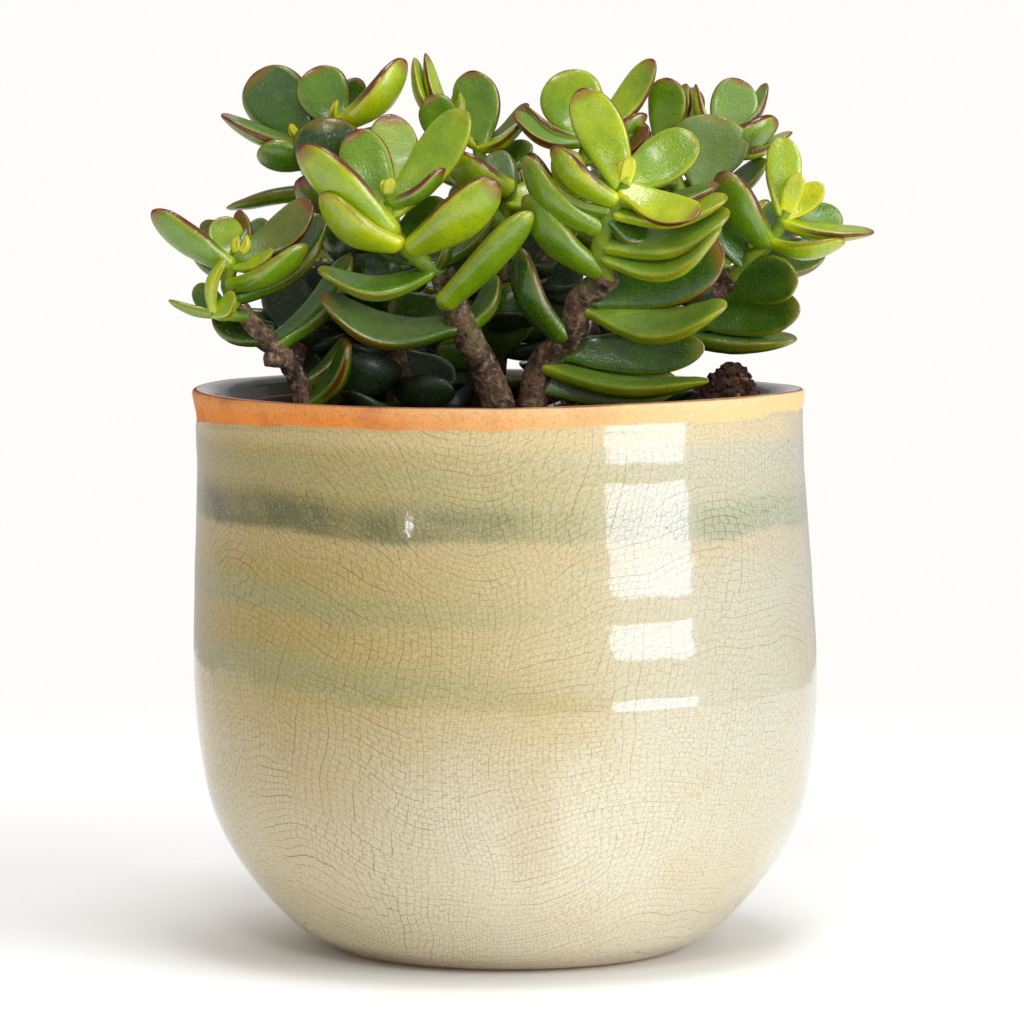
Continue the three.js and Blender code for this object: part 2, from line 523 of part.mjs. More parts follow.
// Every plant piece as a recipe of stems and leaves, so that it can also be made a little larger
function plantRecipes() {
  const random = makeRandom(SEED);
  const woods = Object.entries(WOODS).map(([name, stems]) => ({ name, stems, leaves: [], wood: true }));
  const heads = new Map();
  const shoots = [...SHOOTS.map(listedShoot), ...BACK_SHOOTS.map((row) => backShoot(row, random))];
  for (const { node, stem, leaves } of shoots) {
    if (!heads.has(node)) heads.set(node, { name: node, stems: [], leaves: [] });
    heads.get(node).stems.push(stem);
    heads.get(node).leaves.push(...leaves);
  }
  const old = OLD_LEAVES.map(([name, fx, fy, fz, x, y, z, width, turn, bend]) => {
    const reach = vec(x, y, z);
    const leaf = { foot: vec(fx, fy, fz), reach, width, face: turnedFace(reach, turn), bend };
    return { name, stems: [], leaves: [leaf], old: true };
  });
  return [...woods, ...heads.values(), ...old];
}

function recipeSolid({ stems, leaves, wood }, grow = 0) {
  const mesh = wood ? WOOD : GREEN;
  return union([...stems.map((stem) => stemSolid(stem, mesh, grow)),
    ...leaves.map((leaf) => leafSolid(leaf, grow))]);
}

// Boxes that say quickly whether two pieces can touch
function boxesMeet(a, b) {
  const [p, q] = [a.boundingBox(), b.boundingBox()];
  return [0, 1, 2].every((k) => p.min[k] < q.max[k] && q.min[k] < p.max[k]);
}

// Materials
const material = (color, roughness) => new THREE.MeshStandardMaterial({ color, roughness, metalness: 0 });
const MATERIALS = {
  glaze: () => material(0xc3bd92, 0.18),
  plastic: () => material(0x7a4030, 0.5),
  soil: () => material(0x2e1f17, 0.95),
  wood: () => material(0x6b4f40, 0.85),
  leaf: () => material(0x6f9a2a, 0.35),
  oldLeaf: () => material(0x4a7030, 0.4),
};

function build() {
  const group = new THREE.Group();
  const pot = coverPot();
  const grow = growPot();
  let compost = soil();
  const done = [];
  for (const recipe of plantRecipes()) {
    let solid = recipeSolid(recipe);
    for (const other of done) {
      if (boxesMeet(solid, other.grown)) solid = solid.subtract(other.grown);
    }
    solid = biggest(solid);
    const grown = recipeSolid(recipe, GAP);
    if (recipe.wood) compost = compost.subtract(grown);
    done.push({ solid, grown });
    const look = recipe.wood ? MATERIALS.wood() : recipe.old ? MATERIALS.oldLeaf() : MATERIALS.leaf();
    group.add(toMesh(recipe.name, solid, look));
  }
  group.add(toMesh('pot', pot, MATERIALS.glaze()));
  group.add(toMesh('nursery_pot', grow, MATERIALS.plastic()));
  group.add(toMesh('soil', biggest(compost), MATERIALS.soil()));
  return group;
}

export default build();
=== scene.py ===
# %% [markdown]
# # A jade plant in a crackle-glazed pot
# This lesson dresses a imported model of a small-leaved jade plant. The model is a fixed frame: every piece
# made here takes the place of one of its nodes. The pot is turned like clay on a wheel, the woody stems and
# the leaves grow from short lists by Geometry Nodes, and every finish is worked out by shader nodes.
# Lengths in the lists are millimetres, as a potter or a gardener would measure them.

# %% Load the fixed frame
import math
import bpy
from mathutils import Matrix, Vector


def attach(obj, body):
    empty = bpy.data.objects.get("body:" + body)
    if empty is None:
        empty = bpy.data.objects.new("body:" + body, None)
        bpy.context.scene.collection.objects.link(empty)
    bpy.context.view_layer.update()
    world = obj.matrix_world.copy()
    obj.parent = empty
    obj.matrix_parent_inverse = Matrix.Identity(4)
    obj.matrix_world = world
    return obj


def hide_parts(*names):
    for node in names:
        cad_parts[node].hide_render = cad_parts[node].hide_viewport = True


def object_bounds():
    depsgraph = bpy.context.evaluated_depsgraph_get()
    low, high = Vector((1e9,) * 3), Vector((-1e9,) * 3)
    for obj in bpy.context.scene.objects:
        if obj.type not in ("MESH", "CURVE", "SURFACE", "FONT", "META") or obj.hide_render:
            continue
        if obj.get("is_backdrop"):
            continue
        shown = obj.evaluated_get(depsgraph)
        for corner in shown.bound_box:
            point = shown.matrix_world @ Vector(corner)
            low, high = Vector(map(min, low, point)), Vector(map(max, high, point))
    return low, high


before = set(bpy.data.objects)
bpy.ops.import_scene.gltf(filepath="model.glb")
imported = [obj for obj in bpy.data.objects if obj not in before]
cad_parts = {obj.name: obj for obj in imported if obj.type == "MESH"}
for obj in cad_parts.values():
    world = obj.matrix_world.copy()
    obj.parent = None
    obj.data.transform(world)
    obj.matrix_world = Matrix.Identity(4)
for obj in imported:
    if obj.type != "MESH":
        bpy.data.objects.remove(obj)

from types import SimpleNamespace

import bpy
import numpy as np
from mathutils import Vector

MM = 0.001
BODY = "root"
cad_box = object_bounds()
print("frame:", len(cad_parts), "nodes, box", [[round(v, 4) for v in corner] for corner in cad_box])

# %% [markdown]
# ## A small language for node trees
# A node tree can be wired by hand, one link at a time, but long sums are hard to read that way. Here one
# class wraps an output socket, and Python's own operators add the Math nodes, so `1 - mask` is a node
# too. Another class holds the tree and adds any other node: its settings first, then its sockets.


# %% A wire
class Wire:
    """An output socket. Arithmetic on wires adds Math nodes, or Vector Math nodes for vectors."""

    def __init__(self, graph, socket):
        self.graph = graph
        self.socket = socket
        self.is_vector = socket.type in {"VECTOR", "RGBA"}

    def __add__(self, other):
        return self.graph.maths("ADD", self, other)

    def __sub__(self, other):
        return self.graph.maths("SUBTRACT", self, other)

    def __rsub__(self, other):
        return self.graph.maths("SUBTRACT", other, self)

    def __mul__(self, other):
        return self.graph.maths("MULTIPLY", self, other)

    def __truediv__(self, other):
        return self.graph.maths("DIVIDE", self, other)

    def __pow__(self, other):
        return self.graph.maths("POWER", self, other)

    __radd__ = __add__
    __rmul__ = __mul__


# %% A graph
class Graph:
    """A node tree under construction."""

    def __init__(self, tree):
        self.tree = tree

    def node(self, kind, settings=None, inputs=None, output=0):
        """Adds a node, its settings first and then its inputs, and returns one of its outputs. A socket
        that takes many links gets a list of wires."""
        made = self.tree.nodes.new(kind)
        for name, value in (settings or {}).items():
            if name == "stops":
                self.set_stops(made.color_ramp, value)
            else:
                setattr(made, name, value)
        for key, value in (inputs or {}).items():
            if isinstance(value, (Wire, list)):
                for wire in [value] if isinstance(value, Wire) else value:
                    self.tree.links.new(wire.socket, made.inputs[key])
            else:
                made.inputs[key].default_value = value
        return Wire(self, made.outputs[output]) if len(made.outputs) else made

    @staticmethod
    def set_stops(ramp, stops):
        for place, _ in stops[1:-1]:
            ramp.elements.new(place)
        ramp.elements[0].position = stops[0][0]
        ramp.elements[-1].position = stops[-1][0]
        for element, (_, colour) in zip(ramp.elements, stops):
            element.color = colour

    def maths(self, operation, *values):
        is_vector = any(isinstance(v, tuple) or isinstance(v, Wire) and v.is_vector for v in values)
        if is_vector:
            values = [(v, v, v) if isinstance(v, (int, float)) else v for v in values]
        kind = "ShaderNodeVectorMath" if is_vector else "ShaderNodeMath"
        return self.node(kind, {"operation": operation}, dict(enumerate(values)))

    def largest(self, *values):
        return self.maths("MAXIMUM", *values)

    def smallest(self, *values):
        return self.maths("MINIMUM", *values)

    def dot(self, a, b):
        return self.node("ShaderNodeVectorMath", {"operation": "DOT_PRODUCT"}, {0: a, 1: b}, "Value")

    def length(self, vector):
        return self.node("ShaderNodeVectorMath", {"operation": "LENGTH"}, {0: vector}, "Value")

    def parts(self, vector):
        return [self.node("ShaderNodeSeparateXYZ", {}, {"Vector": vector}, axis) for axis in "XYZ"]

    def join(self, x, y, z):
        return self.node("ShaderNodeCombineXYZ", {}, {"X": x, "Y": y, "Z": z})

    def smooth(self, value, low, high):
        """0 at low and 1 at high, with a soft start and end."""
        settings = {"interpolation_type": "SMOOTHSTEP"}
        return self.node("ShaderNodeMapRange", settings, {"Value": value, "From Min": low, "From Max": high})

    def mix(self, share, a, b):
        """Colour a turning into colour b as share goes from 0 to 1."""
        return self.node("ShaderNodeMix", {"data_type": "RGBA"}, {0: share, 6: a, 7: b}, 2)

    def noise(self, place, scale, detail=3.0, roughness=0.5, output=0):
        inputs = {"Vector": place, "Scale": scale, "Detail": detail, "Roughness": roughness}
        return self.node("ShaderNodeTexNoise", {}, inputs, output)

    def cells(self, place, size):
        """The distance from the middles of cells of about this size, in metres, in cell sizes."""
        return self.node("ShaderNodeTexVoronoi", {"feature": "F1"}, {
            "Vector": place, "Scale": 1 / size, "Randomness": 1.0})

    def together(self, *shapes):
        """All of these shapes as one geometry, with its instances made real."""
        whole = self.node("GeometryNodeJoinGeometry", {}, {"Geometry": list(shapes)})
        return self.node("GeometryNodeRealizeInstances", {}, {"Geometry": whole})


def seen(red, green, blue):
    """A colour as the eye reads it from a screen, turned into the linear colour that a shader takes."""
    def linear(v):
        return v / 12.92 if v <= 0.04045 else ((v + 0.055) / 1.055) ** 2.4
    return (linear(red), linear(green), linear(blue), 1.0)


# %% [markdown]
# ## Materials and trees
# Every finish ends in one Principled shader. What changes over a surface goes into its colour, roughness,
# coat or normal, and what stays the same is set on the socket itself. Patterns are laid out in object
# space, or on attributes that a piece carries, so that they stick to it from every side.


# %% Helpers for finishes
def new_finish(name):
    material = bpy.data.materials.new(name)
    material.use_nodes = True
    material.node_tree.nodes.clear()
    return material, Graph(material.node_tree)


def end_finish(graph, **sockets):
    """Closes a finish with a Principled shader; a socket's name has _ for its spaces."""
    inputs = {name.replace("_", " "): value for name, value in sockets.items()}
    shader = graph.node("ShaderNodeBsdfPrincipled", {}, inputs)
    graph.node("ShaderNodeOutputMaterial", {}, {"Surface": shader})


def object_place(graph):
    return graph.node("ShaderNodeTexCoord", {}, {}, "Object")


def attribute(graph, name, output="Fac"):
    return graph.node("ShaderNodeAttribute", {"attribute_name": name}, {}, output)


def bump(graph, height, distance, strength=1.0):
    return graph.node("ShaderNodeBump", {}, {"Strength": strength, "Distance": distance, "Height": height})


# %% Helpers for Geometry Nodes and for pieces
def new_tree(name, inputs):
    """A Geometry Nodes tree with named inputs {name: (socket type, default)}, and a wire for each."""
    tree = bpy.data.node_groups.new(name, "GeometryNodeTree")
    tree.is_modifier = True
    tree.interface.new_socket("Geometry", in_out="OUTPUT", socket_type="NodeSocketGeometry")
    tree.interface.new_socket("Geometry", in_out="INPUT", socket_type="NodeSocketGeometry")
    for label, (kind, default) in inputs.items():
        socket = tree.interface.new_socket(label, in_out="INPUT", socket_type="NodeSocket" + kind)
        if default is not None:
            socket.default_value = default
    graph = Graph(tree)
    source = graph.node("NodeGroupInput").socket.node
    return graph, {socket.name: Wire(graph, socket) for socket in source.outputs if socket.name}


def end_tree(graph, geometry):
    graph.node("NodeGroupOutput", {}, {"Geometry": geometry})
    return graph.tree


def new_object(name, data):
    made = bpy.data.objects.new(name, data)
    bpy.context.scene.collection.objects.link(made)
    return made


def settle(piece):
    """Keeps what a piece's modifiers make of it as its plain mesh, and takes the modifiers away."""
    depsgraph = bpy.context.evaluated_depsgraph_get()
    start = piece.data
    made = bpy.data.meshes.new_from_object(
        piece.evaluated_get(depsgraph), preserve_all_data_layers=True, depsgraph=depsgraph)
    piece.modifiers.clear()
    piece.data = made
    bpy.data.meshes.remove(start)
    made.name = piece.name


def grow(piece, tree, values):
    """Runs a tree on a piece, with these values in its named inputs, and keeps what it makes."""
    modifier = piece.modifiers.new("growth", "NODES")
    modifier.node_group = tree
    for item in tree.interface.items_tree:
        if item.in_out == "INPUT" and item.name in values:
            modifier[item.identifier] = values[item.name]
    settle(piece)


def dress(piece, node, slot):
    """The piece stands for a node of the frame: it joins the frame's body, and that node is hidden. The slot
    is not used.
    """
    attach(piece, BODY)
    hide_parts(node)
    triangles = sum(len(face.vertices) - 2 for face in piece.data.polygons)
    print(f"{piece.name}: {triangles} triangles, stands for {node}")


# %% [markdown]
# ## The camera
# The photograph was taken from the front, a little above the rim, from far away: the pot's rim is a very
# thin ellipse and its sides hardly narrow. A long lens 1.3 m away gives the same lines.

# %% Camera
CAMERA_PLACE = (0.83, -1300, 212)
CAMERA_AIM = (0.83, 0, 98.8)
LENS = 202.3
SENSOR = 36


def aim(thing, target):
    """Turns a camera or a light to look at a point."""
    thing.rotation_euler = (Vector(target) - thing.location).to_track_quat("-Z", "Y").to_euler()


camera_data = bpy.data.cameras.new("camera")
camera_data.lens = LENS
camera_data.sensor_width = SENSOR
camera = new_object("camera", camera_data)
camera.location = Vector(CAMERA_PLACE) * MM
aim(camera, Vector(CAMERA_AIM) * MM)
bpy.context.scene.camera = camera
print("camera:", [round(v, 3) for v in camera.location], "lens", LENS)

# %% [markdown]
# ## The studio
# A white table with a large soft window at the right gives the photograph's light: the pot is brightest at
# its right, and its soft shadow falls to the left. The window also draws the bright panes on the glaze, so
# it reaches down past the table's edge. An area light is the plainest such window. It comes twice here, as
# one light for surfaces and one for gloss, so that the panes have their own brightness and tint.
# The sky does for the rest of the room: behind the plant the paper is brighter than the room in front,
# which draws pale lines along the sides of the glossy pot. The table's glow is painted light: it is least
# right round the pot's foot, which leaves the floor there darker like a shadow, and grows away from the
# pot till it has the paper's own white, so that the eye finds no line where they meet.

# %% Lights
WHITE = (1.0, 1.0, 1.0)
# Name, turn to the right of the camera, height, distance, width and height of the light, power, colour,
# and whether it lights surfaces, shows in their gloss, or both
LIGHTS = [
    ("window", 55, 0.36, 1.15, (0.75, 0.74), 8.6, WHITE, "surface"),
    ("window_pane", 55, 0.36, 1.14, (0.71, 0.735), 7.4, (0.83, 0.90, 1.0), "gloss"),
    ("top", 25, 1.15, 0.30, (0.34, 0.34), 3.4, WHITE, "both"),
    ("front", -6, 0.90, 1.10, (0.22, 0.16), 2.2, WHITE, "both"),
    ("left_lamp", -33, 0.18, 1.3, (0.05, 0.03), 0.06, WHITE, "both"),
]
LIGHT_AIM = (0, 0, 0.12)


def area_light(name, turn, height, distance, size, power, colour, use):
    light = bpy.data.lights.new(name, "AREA")
    light.shape = "RECTANGLE"
    light.size, light.size_y = size
    light.energy = power
    light.color = colour
    lamp = new_object(name, light)
    lamp.visible_diffuse = use != "gloss"
    lamp.visible_glossy = use != "surface"
    angle = math.radians(turn)
    lamp.location = (distance * math.sin(angle), -distance * math.cos(angle), height)
    aim(lamp, LIGHT_AIM)


for row in LIGHTS:
    area_light(*row)
print("lights:", ", ".join(name for name, *_ in LIGHTS))

# %% Sky
PAPER_WHITE = (1.0, 0.978, 0.955, 1.0)
ROOM_LEVEL = 0.32
PAPER_LEVEL = 0.62
PAPER_EDGE = (0.80, 0.87)        # the room turns into paper between directions that point this far back
HORIZON_LEVEL = 0.55
HORIZON_EDGE = (0.10, -0.12)     # and the horizon's level comes in between those that point this far up


def studio_sky():
    world = bpy.data.worlds.new("studio")
    bpy.context.scene.world = world
    world.use_nodes = True
    world.node_tree.nodes.clear()
    graph = Graph(world.node_tree)
    direction = graph.node("ShaderNodeTexCoord", {}, {}, "Generated")
    _, back, up = graph.parts(direction)
    level = ROOM_LEVEL + (PAPER_LEVEL - ROOM_LEVEL) * graph.smooth(back, *PAPER_EDGE)
    level = level + (HORIZON_LEVEL - level) * graph.smooth(up, *HORIZON_EDGE)
    to_camera = graph.node("ShaderNodeLightPath", {}, {}, "Is Camera Ray")
    shown = level + to_camera * (1.0 - level)
    sky = graph.node("ShaderNodeBackground", {}, {"Color": PAPER_WHITE, "Strength": shown})
    graph.node("ShaderNodeOutputWorld", {}, {"Surface": sky})


studio_sky()
bpy.context.scene.view_settings.view_transform = "Standard"
print("sky: room level", ROOM_LEVEL, "paper level", PAPER_LEVEL)

# %% Table
TABLE_RADIUS = 0.62
TABLE_SIDES = 128
TABLE_COLOUR = seen(0.97, 0.975, 0.98)
BLACK = (0.0, 0.0, 0.0, 1.0)
TABLE_FAR = (0.20, 0.50)         # metres between which the table turns into glowing paper
# The table's glow is painted light; the small glow under the pot leaves the floor there darker, like a shadow
PAINTED_GLOW_UNDER_POT = 0.02              # glow under the pot
# What the painted glow gains on the way out, and between which distances in metres
PAINTED_GLOW_STEPS = [(0.33, 0.04, 0.097), (0.25, 0.16, 0.42)]


def table():
    mesh = bpy.data.meshes.new("table")
    angles = [k * math.tau / TABLE_SIDES for k in range(TABLE_SIDES)]
    points = [(TABLE_RADIUS * math.cos(a), TABLE_RADIUS * math.sin(a), 0) for a in angles]
    mesh.from_pydata(points, [], [tuple(range(TABLE_SIDES))])
    top = new_object("table", mesh)
    top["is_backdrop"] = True
    material, graph = new_finish("paper")
    place = object_place(graph)
    away = graph.length(place)
    far = graph.smooth(away, *TABLE_FAR)
    # The painted glow: least under the pot, and more and more away from it
    glow = PAINTED_GLOW_UNDER_POT
    for gain, start, end in PAINTED_GLOW_STEPS:
        glow = glow + gain * graph.smooth(away, start, end)
    glow = glow + (1.0 - glow) * far
    end_finish(graph, Base_Color=graph.mix(far, TABLE_COLOUR, BLACK),
               Roughness=0.75 + 0.1 * graph.noise(place, 900.0), Specular_IOR_Level=0.0,
               Emission_Color=graph.mix(glow, BLACK, PAPER_WHITE), Emission_Strength=1.0)
    mesh.materials.append(material)


table()
print("table:", 2 * TABLE_RADIUS, "m across")

# %% [markdown]
# ## The cover pot
# The real pot was thrown on a wheel: fingers left faint rings in the wall, and the rim sagged a little to
# the left in the kiln. A turned profile gives that shape best: the points of the profile go round the axis,
# and small formulas add the faint rings, the sag and the thickness of the glaze, which stops below the rim
# in a wavy edge. Each point keeps its height above that edge, so that the finish changes exactly there.

# %% Lines for the potter's wheel
def on_line(points, i, t):
    """The smooth Catmull-Rom line through these points, at the share t of the way from point i on."""
    last = len(points) - 1
    a, b, c, d = (points[max(0, min(last, k))] for k in (i - 1, i, i + 1, i + 2))
    return 0.5 * (2 * b + (c - a) * t + (2 * a - 5 * b + 4 * c - d) * t ** 2
                  + (3 * b - a - 3 * c + d) * t ** 3)


def smooth_line(points, steps):
    """Points of such a line, so many steps from each given point to the next."""
    values = np.array(points, float)
    line = [on_line(values, i, t) for i in range(len(values) - 1) for t in np.arange(steps) / steps]
    return np.array([*line, values[-1]])


def soft_step(value, low, high):
    """0 at low and 1 at high, with a soft start and end, for numbers as Graph.smooth is for wires."""
    share = np.clip((value - low) / (high - low), 0, 1)
    return share * share * (3 - 2 * share)


def turned_mesh(name, profile, sides, shape):
    """Turns a profile of (radius, height, kind) that starts and ends on the axis; shape moves each point."""
    angles = np.arange(sides) * 2 * math.pi / sides
    rings = [shape(radius, height, kind, angles) for radius, height, kind in profile[1:-1]]
    ends = [shape(radius, height, kind, np.zeros(1)) for radius, height, kind in (profile[0], profile[-1])]
    points = np.vstack([ends[0], *rings, ends[1]])
    faces = []
    last = len(rings) - 1
    for i in range(sides):
        j = (i + 1) % sides
        faces.append((0, 1 + j, 1 + i))
        faces.append((len(points) - 1, 1 + last * sides + i, 1 + last * sides + j))
        for ring in range(last):
            low, high = 1 + ring * sides, 1 + (ring + 1) * sides
            faces.append((low + i, low + j, high + j, high + i))
    mesh = bpy.data.meshes.new(name)
    mesh.from_pydata((points[:, :3] * MM).tolist(), [], faces)
    mesh.shade_smooth()
    return mesh, points


# %% The pot's profile
OUTSIDE, RIM, INSIDE = 0, 1, 2           # kinds of points
POT_HEIGHT = 127
POT_WALL = 5
POT_FLOOR = 8
POT_SIDES = 192
# Radius and height of the outside, from the flat foot to the rim
POT_OUTSIDE = [
    (35, 0), (39.2, 0.5), (41.9, 1.8), (47.7, 5), (52.6, 9.8), (58, 16), (63.4, 24.2), (67.4, 34),
    (69.5, 46), (70.1, 53), (70.4, 59), (70.5, 64), (70.35, 69), (70.15, 74), (69.9, 80), (69.6, 86),
    (69.25, 92), (68.95, 98), (68.7, 104), (68.45, 110), (68.4, 116), (68.45, 121), (68.85, 123.5),
    (69.2, 125.6),
]
# The way over the rim: inwards from the last point of the outside, and height
POT_RIM = [(0, 125.6), (0.05, 126.5), (0.5, 127), (1.4, 127.05), (2.6, 126.9), (3.7, 126.4), (4.4, 125.6),
           (4.7, 124.6)]
RIM_WIDTH = 1.0          # further in than this the rim is glazed like the inside
INNER_WALL = (14, 123)   # between these heights the inner wall keeps to the outer one
# The round corner between wall and floor: inwards from the foot of the inner wall, and over the floor
INNER_CORNER = [(8, 1.5), (12, 0)]
FLOOR_RING = 20
FOOT_RING = 30


def pot_profile():
    """From the middle of the foot up the outside, over the rim and down to the middle of the floor."""
    foot = [(0, 0, OUTSIDE), (FOOT_RING, 0, OUTSIDE)]
    outside = [(r, z, OUTSIDE) for r, z in smooth_line(POT_OUTSIDE, 8)]
    rim_radius = POT_OUTSIDE[-1][0]
    rim = smooth_line([(rim_radius - inwards, z) for inwards, z in POT_RIM], 3)[1:]
    over = [(r, z, INSIDE if r < rim_radius - RIM_WIDTH else RIM) for r, z in rim]
    low, high = INNER_WALL
    wall = [(r - POT_WALL, z) for r, z in POT_OUTSIDE if low < z < high][::-1]
    (bend, lift), (flat, _) = INNER_CORNER
    corner = (wall[-1][0] - bend, POT_FLOOR + lift)
    inside = smooth_line([tuple(rim[-1]), *wall, corner], 4)[1:]
    floor = [(wall[-1][0] - flat, POT_FLOOR), (FLOOR_RING, POT_FLOOR), (0, POT_FLOOR)]
    return foot + outside + over + [(r, z, INSIDE) for r, z in [*inside, *floor]]


# %% The pot's small faults
RIM_LEAN = -2.3          # the rim stands this much to the right, so it leans to the left
RIM_LEAN_POWER = 1.8
RIM_DIP = 1.6            # the rim is lower by part of this at its right back, and higher at its right front
RIM_DIP_POWER = 12
# Marks of the potter's fingers: where round the pot each is deepest, in radians from the right, how wide it
# is, its share elsewhere, and its heights with how far the wall stands out there. Where the wall leans out
# upwards the window leaves it, so the first mark breaks the window's reflection into panes
FINGER_MARKS = [
    (-1.1, 0.45, 0.2, [(59, 0), (61.5, 0), (64.2, -0.23), (73.3, 0.2), (79.4, -0.2), (86.4, 0.26), (93, 0.14),
                       (103, 0), (109.3, -0.15), (115.4, 0.2), (122.8, -0.1), (127, -0.1)]),
    (-1.86, 0.13, 0.0, [(94, 0), (97, 0.06), (99.5, 0.09), (104.5, -0.11), (107, -0.08), (112, 0)]),
]
RING_WAVES = [(8.7, 0.007, 0.6), (5.1, 0.003, 0.0)]   # wavelength, height and phase of the faint rings
RING_SWAY = 0.25         # the rings aren't quite level: their phase changes this much round the pot
DENT = 0.05              # the wall also waves this much round the pot
DENT_WAVES = [(13, 0.12), (3, 0.05)]     # how many waves, and their turn with each mm of height
FAULTS_START = (6, 22)   # rings, marks and dents come in between these heights
FAULTS_END = (121.5, 127)    # and go out between these
CHIP = 0.10              # the rim's height goes up and down this much
CHIP_WAVES = [(7, 1), (3, 0)]            # how many waves, and their phase
CHIP_START = (122, 127)

GLAZE_THICKNESS = 0.28
GLAZE_ROLL = (-1.3, 0.0)         # the glaze thins out between these heights over its edge
GLAZE_START = (0.4, 1.6)         # and gets its thickness between these heights over the foot
# The glaze's upper edge round the pot: degrees from the right side, and height
GLAZE_EDGE = [(-173, 120), (-145, 121.5), (-130, 122), (-110, 122.3), (-90, 122.1), (-74, 122.8),
              (-55, 122.7), (-42, 122.1), (-34, 122.3), (-28, 123.2), (-15, 123), (0, 122.8), (40, 121.8),
              (90, 121.3), (140, 121.6), (187, 120)]
INSIDE_EDGE = 127.6              # inside, the glaze reaches this height
EDGE_WAVES = [(11, 0.14, 1.0), (23, 0.09, 4.0), (41, 0.06, 2.0)]    # how many waves, height in mm, phase
LIP_HEIGHT = 126.8               # the rim's top is darker brown above this


def glaze_edge(angle, kind):
    turns, heights = zip(*GLAZE_EDGE)
    line = INSIDE_EDGE if kind == INSIDE else np.interp(np.degrees(angle), turns, heights, period=360)
    return line + sum(height * np.sin(count * angle + phase) for count, height, phase in EDGE_WAVES)


# %% Turn the pot
FINGER_LINES = [(turn, wide, rest, smooth_line(line, 40)) for turn, wide, rest, line in FINGER_MARKS]


def wall_faults(height, angles):
    """How far the outside stands out for dents, finger marks and rings."""
    faults = DENT * np.prod([np.sin(count * angles + twist * height) for count, twist in DENT_WAVES], axis=0)
    for turn, wide, rest, line in FINGER_LINES:
        near = np.exp(-((angles % (2 * math.pi) - turn - 2 * math.pi) / wide) ** 2)
        faults = faults + np.interp(height, line[:, 0], line[:, 1]) * (rest + (1 - rest) * near)
    for wave, size, phase in RING_WAVES:
        shift = phase + RING_SWAY * np.sin(angles + wave)
        faults = faults + size * np.sin(2 * math.pi * height / wave + shift)
    return faults * soft_step(height, *FAULTS_START) * (1 - soft_step(height, *FAULTS_END))


def pot_point(radius, height, kind, angles):
    """A ring of the pot with its faults, and with each point its height over the glaze's edge."""
    over = height - glaze_edge(angles, kind)
    wide = radius + 0 * angles
    if kind == OUTSIDE:
        glaze = (1 - soft_step(over, *GLAZE_ROLL)) * soft_step(height, *GLAZE_START)
        wide = wide + wall_faults(height, angles) + GLAZE_THICKNESS * glaze
    share = height / POT_HEIGHT
    lean = RIM_LEAN * share ** RIM_LEAN_POWER
    dip = RIM_DIP * np.sin(angles) * np.clip(np.cos(angles), 0, None) * share ** RIM_DIP_POWER
    chips = CHIP * np.prod([np.sin(count * angles + phase) for count, phase in CHIP_WAVES], axis=0)
    chips = chips * soft_step(height, *CHIP_START)
    z = height - dip * (radius > 1) + chips * (kind != INSIDE)
    flags = [flag + 0 * angles for flag in (over, kind == RIM and height > LIP_HEIGHT, kind == INSIDE)]
    return np.column_stack([wide * np.cos(angles) + lean, wide * np.sin(angles), z, *flags])


pot_mesh, pot_points = turned_mesh("cover_pot", pot_profile(), POT_SIDES, pot_point)
for column, name in enumerate(("over_edge", "lip", "inside"), 3):
    pot_mesh.attributes.new(name, "FLOAT", "POINT").data.foreach_set("value", pot_points[:, column].copy())
pot = new_object("cover_pot", pot_mesh)
print("pot:", len(pot_mesh.vertices), "points, rim at", round(max(pot_points[:, 2]), 2), "mm")

# %% [markdown]
# ## Glaze and bare clay
# The glaze is a pale olive cream that crazed as it cooled: fine cracks in long lines, and short ones that
# cross from line to line, out of step. They could be cells of a Voronoi texture, but those are round, and
# these are small boxes. So the wall is cut into strips, each strip into steps from a chance of its own, and
# noise bends the whole net. Grey-green and olive bands run round the pot where the glaze lies thicker.
# Above the edge, and in a thin line at the foot, the clay is bare: orange, speckled and matt.


# %% Where a point of the pot is
def pot_places(graph):
    """Wires that glaze and clay share: place in metres and in mm, sides, and noises of three sizes."""
    place = object_place(graph)
    x, y, z = graph.parts(place)
    across = x * (1 / MM)
    # left is 1 on the side away from the window, where the glaze's colours are darker partly as painted shade
    return SimpleNamespace(
        place=place, x=x, y=y, z=z, across=across, height=z * (1 / MM),
        left=graph.smooth(across, 45.0, -60.0), right=graph.smooth(across, 5.0, 60.0),
        cloud=graph.noise(place, 26.0, 4.0, 0.55), patch=graph.noise(place, 90.0, 3.0, 0.6),
        grit=graph.noise(place, 1700.0, 2.0, 0.7))


# %% Cracks and specks
WALL_RADIUS = 0.069              # metres; the net of cracks is laid out flat on a wall this round
CELL_SIZES = (1.55, 1.45)        # mm between cracks, where the long ones stand and where they lie
CRACK_WIDTH = 0.10
STRONG_EVERY = 4                 # one in so many long lines is strong
STEP_RANGE = (0.65, 0.5)         # least steps for each cell's size along a strip, and what chance adds
# The noises that bend the net: scale, detail, roughness, and how far in metres
NET_BENDS = [(15.0, 1.0, 0.4, 0.055), (48.0, 1.0, 0.4, 0.0085), (300.0, 2.0, 0.5, 0.0007)]
SPECK_SPACING = 13


def near_line(graph, steps):
    """How near a count is to a whole number: 0 there and 0.5 half way between."""
    return 0.5 - graph.maths("ABSOLUTE", graph.maths("FRACT", steps) - 0.5)


